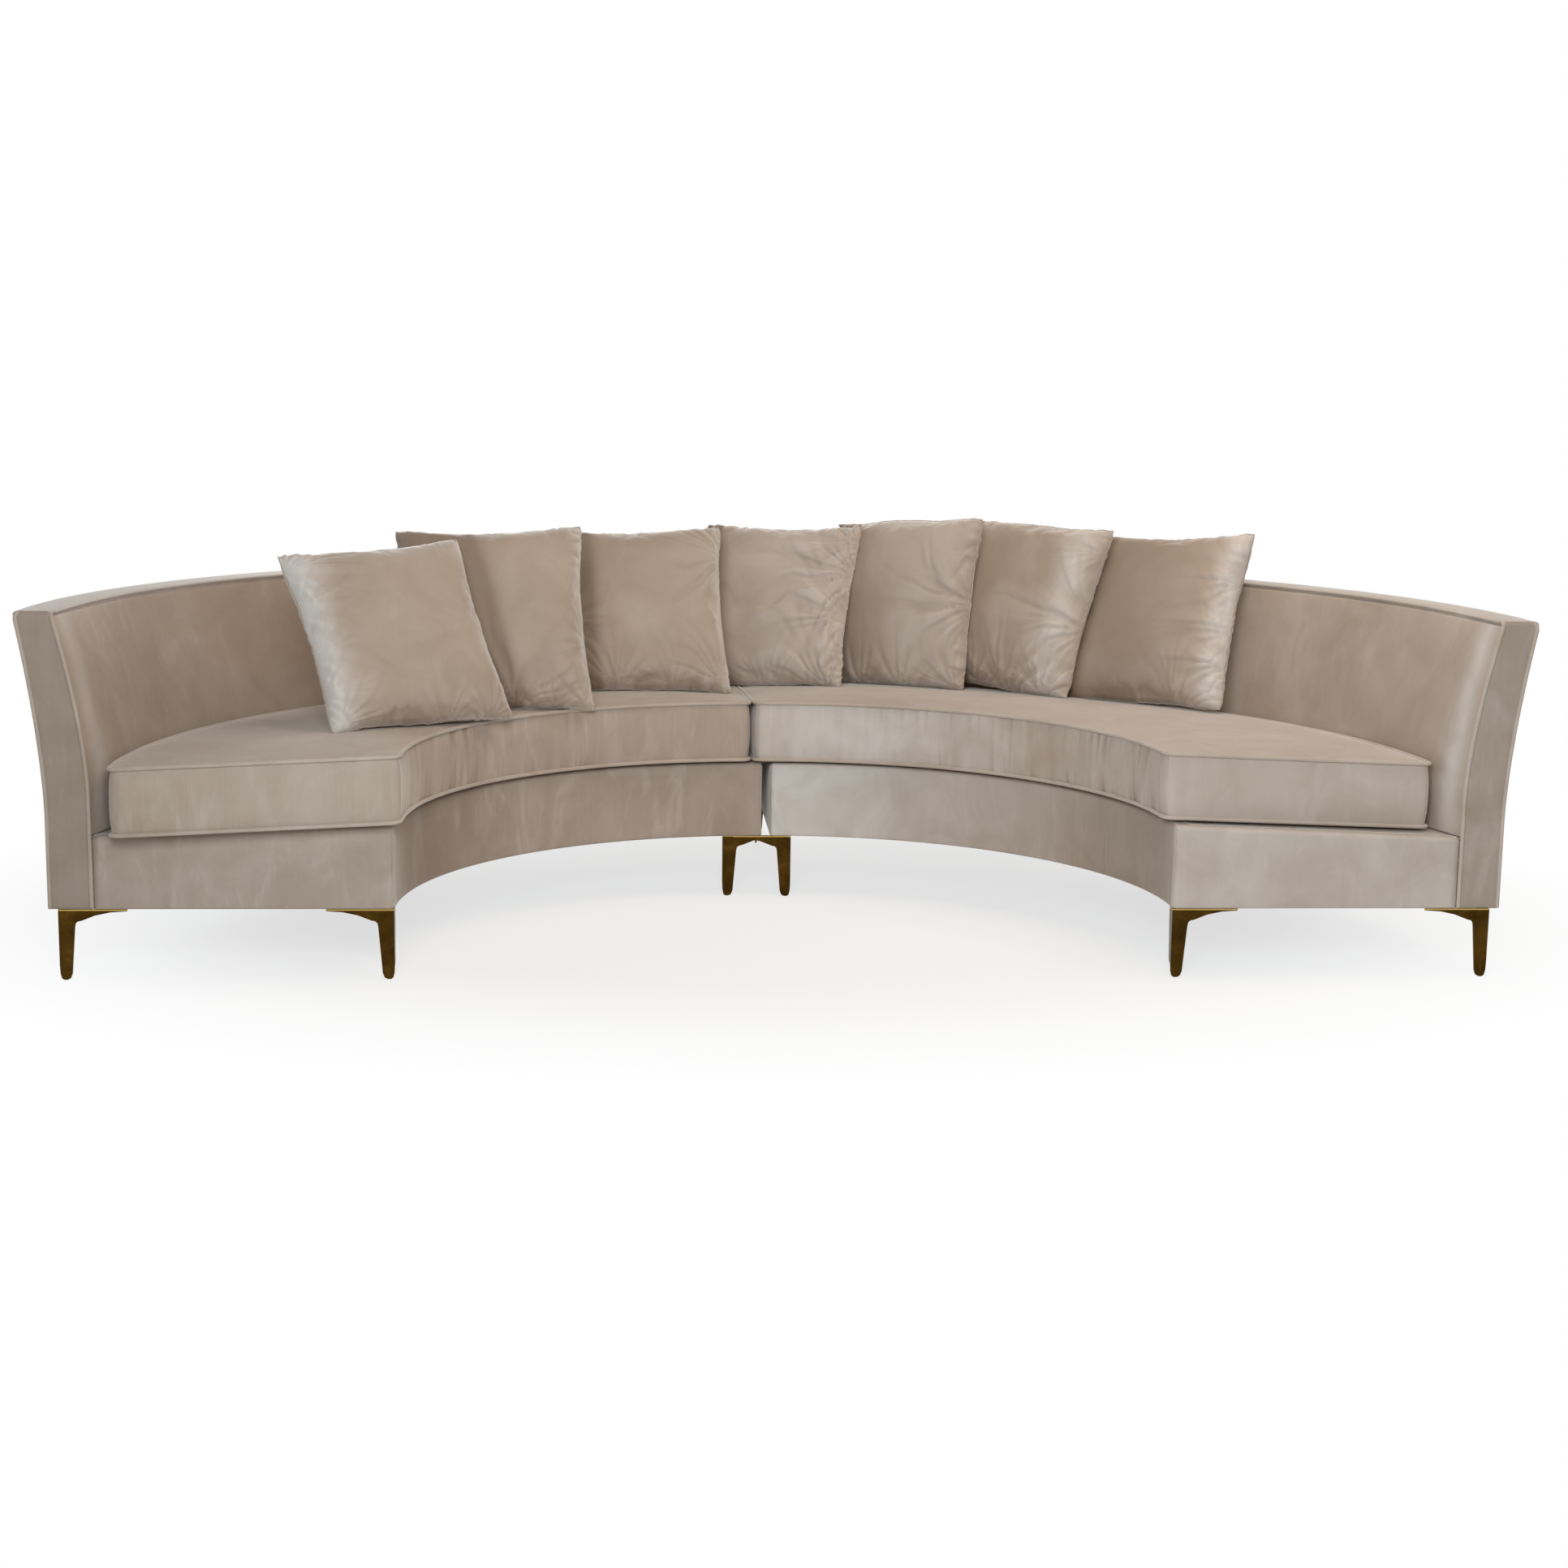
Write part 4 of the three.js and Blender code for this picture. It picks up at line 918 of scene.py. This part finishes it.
def pillow_case(n, seed):
    """A pillow's front and back grid, which meet in a knife edge, with blunt corners, sides drawn in between
    them and a slightly uneven filling."""
    t = np.linspace(-1, 1, n + 1)
    s = 0.6 * t + 0.4 * np.sin(QUARTER * t)
    U, V = np.meshgrid(s, s, indexing="ij")
    pull = 2 * PILLOW_DRAW_IN / PILLOW
    corner = 1 - 0.020 * np.abs(U * V) ** 9
    X = U * (1 - pull * (1 - V * V)) * corner * PILLOW / 2
    Z = (V * (1 - pull * (1 - U * U)) * corner + 1) * PILLOW / 2
    fullness = np.maximum(0, (1 - U * U) * (1 - V * V)) ** 0.44
    uneven = 1 + 0.05 * noise3(U * 1.6, V * 1.6, seed, 53)
    Y = fullness * uneven * PILLOW_HALF_THICKNESS
    return np.stack([X, -Y, Z], -1), np.stack([X, Y, Z], -1)


def face_points(n):
    """Where the points of a front grid and a back grid that share their rim are in one list."""
    front = np.arange((n + 1) ** 2).reshape(n + 1, n + 1)
    back = front.copy()
    back[1:-1, 1:-1] = (n + 1) ** 2 + np.arange((n - 1) ** 2).reshape(n - 1, n - 1)
    return front, back


def two_faced(front, back):
    """Points and faces of two grids that share their rim."""
    index, other = face_points(len(front) - 1)
    points = np.concatenate([front.reshape(-1, 3), back[1:-1, 1:-1].reshape(-1, 3)])
    pairs = zip(grid_faces(index), grid_faces(other, flip=True))
    return points, [face for pair in pairs for face in pair]


def finer(grid):
    """A grid with twice the squares each way, its new points on a smooth curve through the old ones."""
    for axis in (0, 1):
        g = np.moveaxis(grid, axis, 0)
        wide = np.concatenate([2 * g[:1] - g[1:2], g, 2 * g[-1:] - g[-2:-1]])
        out = np.zeros((2 * len(g) - 1, *g.shape[1:]))
        out[::2] = g
        out[1::2] = (9 * (wide[1:-2] + wide[2:-1]) - wide[:-3] - wide[3:]) / 16
        grid = np.moveaxis(out, 0, axis)
    return grid


def placed(points, name):
    """Leans, turns and places a pillow's points, where the frame holds that pillow."""
    yaw, lean, roll = (math.radians(angle) for angle in PILLOWS[name])
    turn = Matrix.Rotation(yaw, 3, "Z") @ Matrix.Rotation(-lean, 3, "X") @ Matrix.Rotation(roll, 3, "Y")
    low, high = (np.array(corner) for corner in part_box(name))
    return (points - (0, 0, PILLOW / 2)) @ np.array(turn).T + (low + high) / 2


def filled(points, faces):
    """Lets a pillow's cover, cut a little too large for its filling, crease under the filling's pressure."""
    case = mesh_object("case", points, faces)
    settings = case.modifiers.new("cloth", "CLOTH").settings
    settings.quality = 5
    settings.mass = 0.25
    settings.tension_stiffness = settings.compression_stiffness = 25
    settings.shear_stiffness = 8
    settings.bending_stiffness = 0.08
    settings.tension_damping = settings.compression_damping = 10
    settings.air_damping = 4
    settings.shrink_min = -0.07
    settings.use_pressure = True
    settings.uniform_pressure_force = 4
    settings.effector_weights.gravity = 0
    for at in range(1, FILLING_FRAMES + 1):
        SCENE.frame_set(at)
    evaluated = case.evaluated_get(bpy.context.evaluated_depsgraph_get())
    result = np.zeros(points.size)
    evaluated.data.vertices.foreach_get("co", result)
    SCENE.frame_set(1)
    bpy.data.objects.remove(case)
    moved = (result.reshape(-1, 3) - points) * (0.5, 1, 0.5)
    length = np.maximum(np.linalg.norm(moved, axis=1), 1e-9)[:, None]
    return points + moved / length * PILLOW_CAP * np.tanh(length / PILLOW_CAP)


def fold_height(x, z, seed, pulls):
    """Heights of the folds that run in from a pillow's rim."""
    height = np.zeros(x.shape)
    for across, up, reach, depth in pulls:
        dx, dz = x - across * PILLOW / 2, z - up * PILLOW / 2
        distance = np.hypot(dx, dz)
        angle = np.arctan2(dz, dx) + 0.12 * noise3(x / 0.07, z / 0.07, seed, 62)
        wave = noise3(angle * 5.5 + 7 * seed, distance / 0.26, seed, 61)
        fold = 0.3 - hump(wave, 0.26)
        height += depth * fold * hump(distance, reach) * np.minimum(1, distance / 0.025)
    return height


def creased(grid, seed, pulls, out):
    """A pillow's face with its folds, a puckered seam and a scalloped edge, and the painted light of its
    folds: painted highlight where they stand up, a little painted shade where they sink.
    """
    x, z = grid[..., 0], grid[..., 2] - PILLOW / 2
    height = fold_height(x, z, seed, pulls)
    rim = np.minimum(PILLOW / 2 - np.abs(x), PILLOW / 2 - np.abs(z))
    upright = np.abs(x) > np.abs(z)
    along = np.where(upright, z, x)
    rim_side = np.where(upright, 1 + np.sign(x), 4 + np.sign(z)) + 10 * seed
    patchy = np.clip(0.65 + 1.2 * noise3(along / 0.08, rim_side, out, 64), 0.1, 1.5)
    pucker = 0.35 - hump(noise3(along / 0.016, rim / 0.07, rim_side, 63), 0.4)
    height += PUCKER * patchy * pucker * hump(rim, 0.036) * np.clip(rim / 0.004, 0, 1)
    scallop = SCALLOP * np.clip(noise3(along / 0.013, rim_side, seed, 65), -0.2, 0.6) * hump(rim, 0.010)
    moved = grid + np.stack([-x * scallop, out * height, -z * scallop], -1)
    # Painted highlight on raised folds, a little painted shade in sunk ones
    return moved, np.clip(50 * height, -0.08, 0.2)


def pillow_painted_light(name, front, crease_painted_light):
    """Painted light on a pillow: on its folds, in its bands of painted sheen and shade, and as a painted
    shadow behind its neighbour.
    """
    across, up = front[..., 0] / (PILLOW / 2), front[..., 2] / (PILLOW / 2) - 1
    painted_light = crease_painted_light.copy()
    for centre, reach, amount in PILLOW_PAINTED_LIGHT[name]:
        painted_light += amount * hump(across - centre, reach)
    if name in PILLOW_NEIGHBOUR_SHADOW:
        # Painted shadow of the neighbour in front
        line, slant, amount = PILLOW_NEIGHBOUR_SHADOW[name]
        neighbour_shadow = hump(np.maximum(0, across - line - slant * up), 0.10)
        painted_light += amount * neighbour_shadow * np.clip(1.9 + across, 0.5, 1)
    return painted_light


def seated(world, points):
    """Lets a pillow settle: its lower edge sinks until it lies on the seat, and its foot flattens there."""
    across = points[:, 0] / PILLOW + 0.5
    up = points[:, 2] / PILLOW
    foot = up < 0.12
    slots = np.linspace(0, 1, 12)
    gap = world[:, 2] - seat_top(world[:, 0], world[:, 1]) - PILLOW_GAP
    lowest = [np.min(gap[foot & (np.abs(across - slot) < 0.07)], initial=PILLOW_SINK) for slot in slots]
    drop = np.interp(across, slots, np.clip(lowest, 0, PILLOW_SINK))
    world = world.copy()
    world[:, 2] -= (drop + 0.003) * np.clip(1.15 - up / 0.75, 0, 1)
    floor = seat_top(world[:, 0], world[:, 1]) + PILLOW_GAP
    world[:, 2] = np.where(floor > 0, np.maximum(world[:, 2], floor), world[:, 2])
    return world


def pillow_pieces():
    n = 52
    rim = grid_rim(face_points(2 * n)[0])
    for seed, name in enumerate(PILLOWS):
        points, faces = two_faced(*pillow_case(n, seed))
        points = filled(points, faces)
        front, back = (finer(points[grid]) for grid in face_points(n))
        front, crease_painted_light = creased(front, seed, PILLOW_PULLS[name], -1)
        back, back_crease_painted_light = creased(back, seed, [], 1)
        # Painted light: on the front from its folds, bands and neighbour's shadow; on the back from its folds
        painted_light = np.concatenate([pillow_painted_light(name, front, crease_painted_light).ravel(), back_crease_painted_light[1:-1, 1:-1].ravel()])
        points, faces = two_faced(front, back)
        from_corner = np.hypot(points[:, 0] + PILLOW / 2, points[:, 2] - PILLOW)
        points[:, 2] -= HIDDEN_CORNER_DROOP.get(name, 0) * hump(from_corner, 0.13)
        world = seated(placed(points, name), points)
        piece = mesh_piece(name + "_cover", world, faces, name, PILLOW_VELVET, [name], painted_light=painted_light)
        seam = world[rim] + (0, 0, 0.0004)
        mesh_piece(name + "_seam", *tube(seam, PILLOW_SEAM_R, 6, closed=True), name, PILLOW_VELVET)


# Assembly
def section(prefix, side):
    body = f"{prefix}_section"
    for build in (base_piece, pad_piece, outside_piece, band_piece, back_piping):
        build(prefix, side, body)
    seat_piece(prefix, side, f"{prefix}_seat")


# Stage, lights and camera
FLOOR_REACH = 60
WORLD_TINT, WORLD_STRENGTH = (1.0, 0.90, 0.79, 1), 0.08

# Each lamp: its place, what it points at, its size, power in watts and colour
LAMPS = {
    "front": ((-0.6, -5.0, 2.3), (0.0, 0, 0.4), (1.8, 1.4), 120, (0.92, 0.98, 1.0)),
    "left_side": ((-4.2, 0.0, 2.2), (0.4, 0, 0.5), (2.0, 1.6), 36, (0.78, 0.90, 1.0)),
    "right_side": ((2.8, -4.2, 2.2), (0.4, 0, 0.4), (1.8, 1.4), 24, (0.78, 0.90, 1.0)),
    "top": ((1.2, -0.6, 3.2), (0.8, 0, 0), (2.6, 2.0), 48, (1.0, 0.82, 0.66)),
    "back": ((-0.4, 5.0, 1.8), (0, 0, 0.4), (3.0, 1.6), 110, (1.0, 0.97, 0.93)),
}

# The camera, as fitted to the photograph, its angles in radians
CAMERA_PLACE = (-0.3589, -5.9931, 1.3273)
CAMERA_YAW, CAMERA_PITCH, CAMERA_ROLL = -0.0666, 0.1694, 0.0139
CAMERA_LENS, CAMERA_SENSOR = 55.875, 36


def stage_floor():
    """A pale floor that goes over into the white background, and keeps a soft shadow of the sofa."""
    corners = [(-1, -1, 0), (1, -1, 0), (1, 1, 0), (-1, 1, 0)]
    floor = mesh_object("floor", FLOOR_REACH * np.array(corners), [(0, 1, 2, 3)])
    floor.location.z = -0.0005
    n = Nodes("floor_pale")
    n.shade(Base_Color=(0.85, 0.85, 0.85, 1), Roughness=0.9)
    white = n.add("ShaderNodeEmission", {"Color": (1, 1, 1, 1)})
    length = n.add("ShaderNodeVectorMath", {0: n.stretched((0.72, 1, 1))}, operation="LENGTH")
    fade = n.between(length.outputs["Value"], 0.75, 1.7, 0.70, 1.0)
    path = n.add("ShaderNodeLightPath").outputs
    seen = n.math("MAXIMUM", path["Is Camera Ray"], path["Is Glossy Ray"])
    pale = n.tree.nodes["Principled BSDF"]
    n.blend(n.math("MULTIPLY", fade, seen), pale, white, "Material Output")
    floor.data.materials.append(n.owner)


def world_light():
    """A dim warm world that looks white to the camera, through glass and in gloss."""
    n = Nodes("studio", "worlds")
    SCENE.world = n.owner
    dim = n.tree.nodes["Background"]
    n.put(dim, {"Color": WORLD_TINT, "Strength": WORLD_STRENGTH})
    white = n.add("ShaderNodeBackground", {"Color": (1, 1, 1, 1)})
    path = n.add("ShaderNodeLightPath").outputs
    seen = n.math("MAXIMUM", path["Is Camera Ray"], path["Is Transmission Ray"])
    n.blend(n.math("MAXIMUM", seen, path["Is Glossy Ray"]), dim, white, "World Output")


def area_light(name, place, target, size, power, colour):
    lamp = bpy.data.lights.new(name, "AREA")
    lamp.shape = "RECTANGLE"
    lamp.size, lamp.size_y = size
    lamp.energy = power
    lamp.color = colour
    holder = linked(name, lamp)
    holder.location = place
    aim = Vector(target) - Vector(place)
    holder.rotation_euler = aim.to_track_quat("-Z", "Y").to_euler()


def photo_camera():
    data = bpy.data.cameras.new("photo_camera")
    data.lens = CAMERA_LENS
    data.sensor_width = CAMERA_SENSOR
    data.clip_end = 200
    camera = linked("photo_camera", data)
    look = Matrix.Rotation(CAMERA_YAW, 4, "Z") @ Matrix.Rotation(QUARTER - CAMERA_PITCH, 4, "X")
    camera.matrix_world = Matrix.Translation(CAMERA_PLACE) @ look @ Matrix.Rotation(CAMERA_ROLL, 4, "Z")
    SCENE.camera = camera


SCENE.view_settings.view_transform = "Standard"
photo_camera()
world_light()
stage_floor()
for lamp_name, settings in LAMPS.items():
    area_light(lamp_name, *settings)
dress_nodes()
section("left", -1)
section("right", 1)
pillow_pieces()
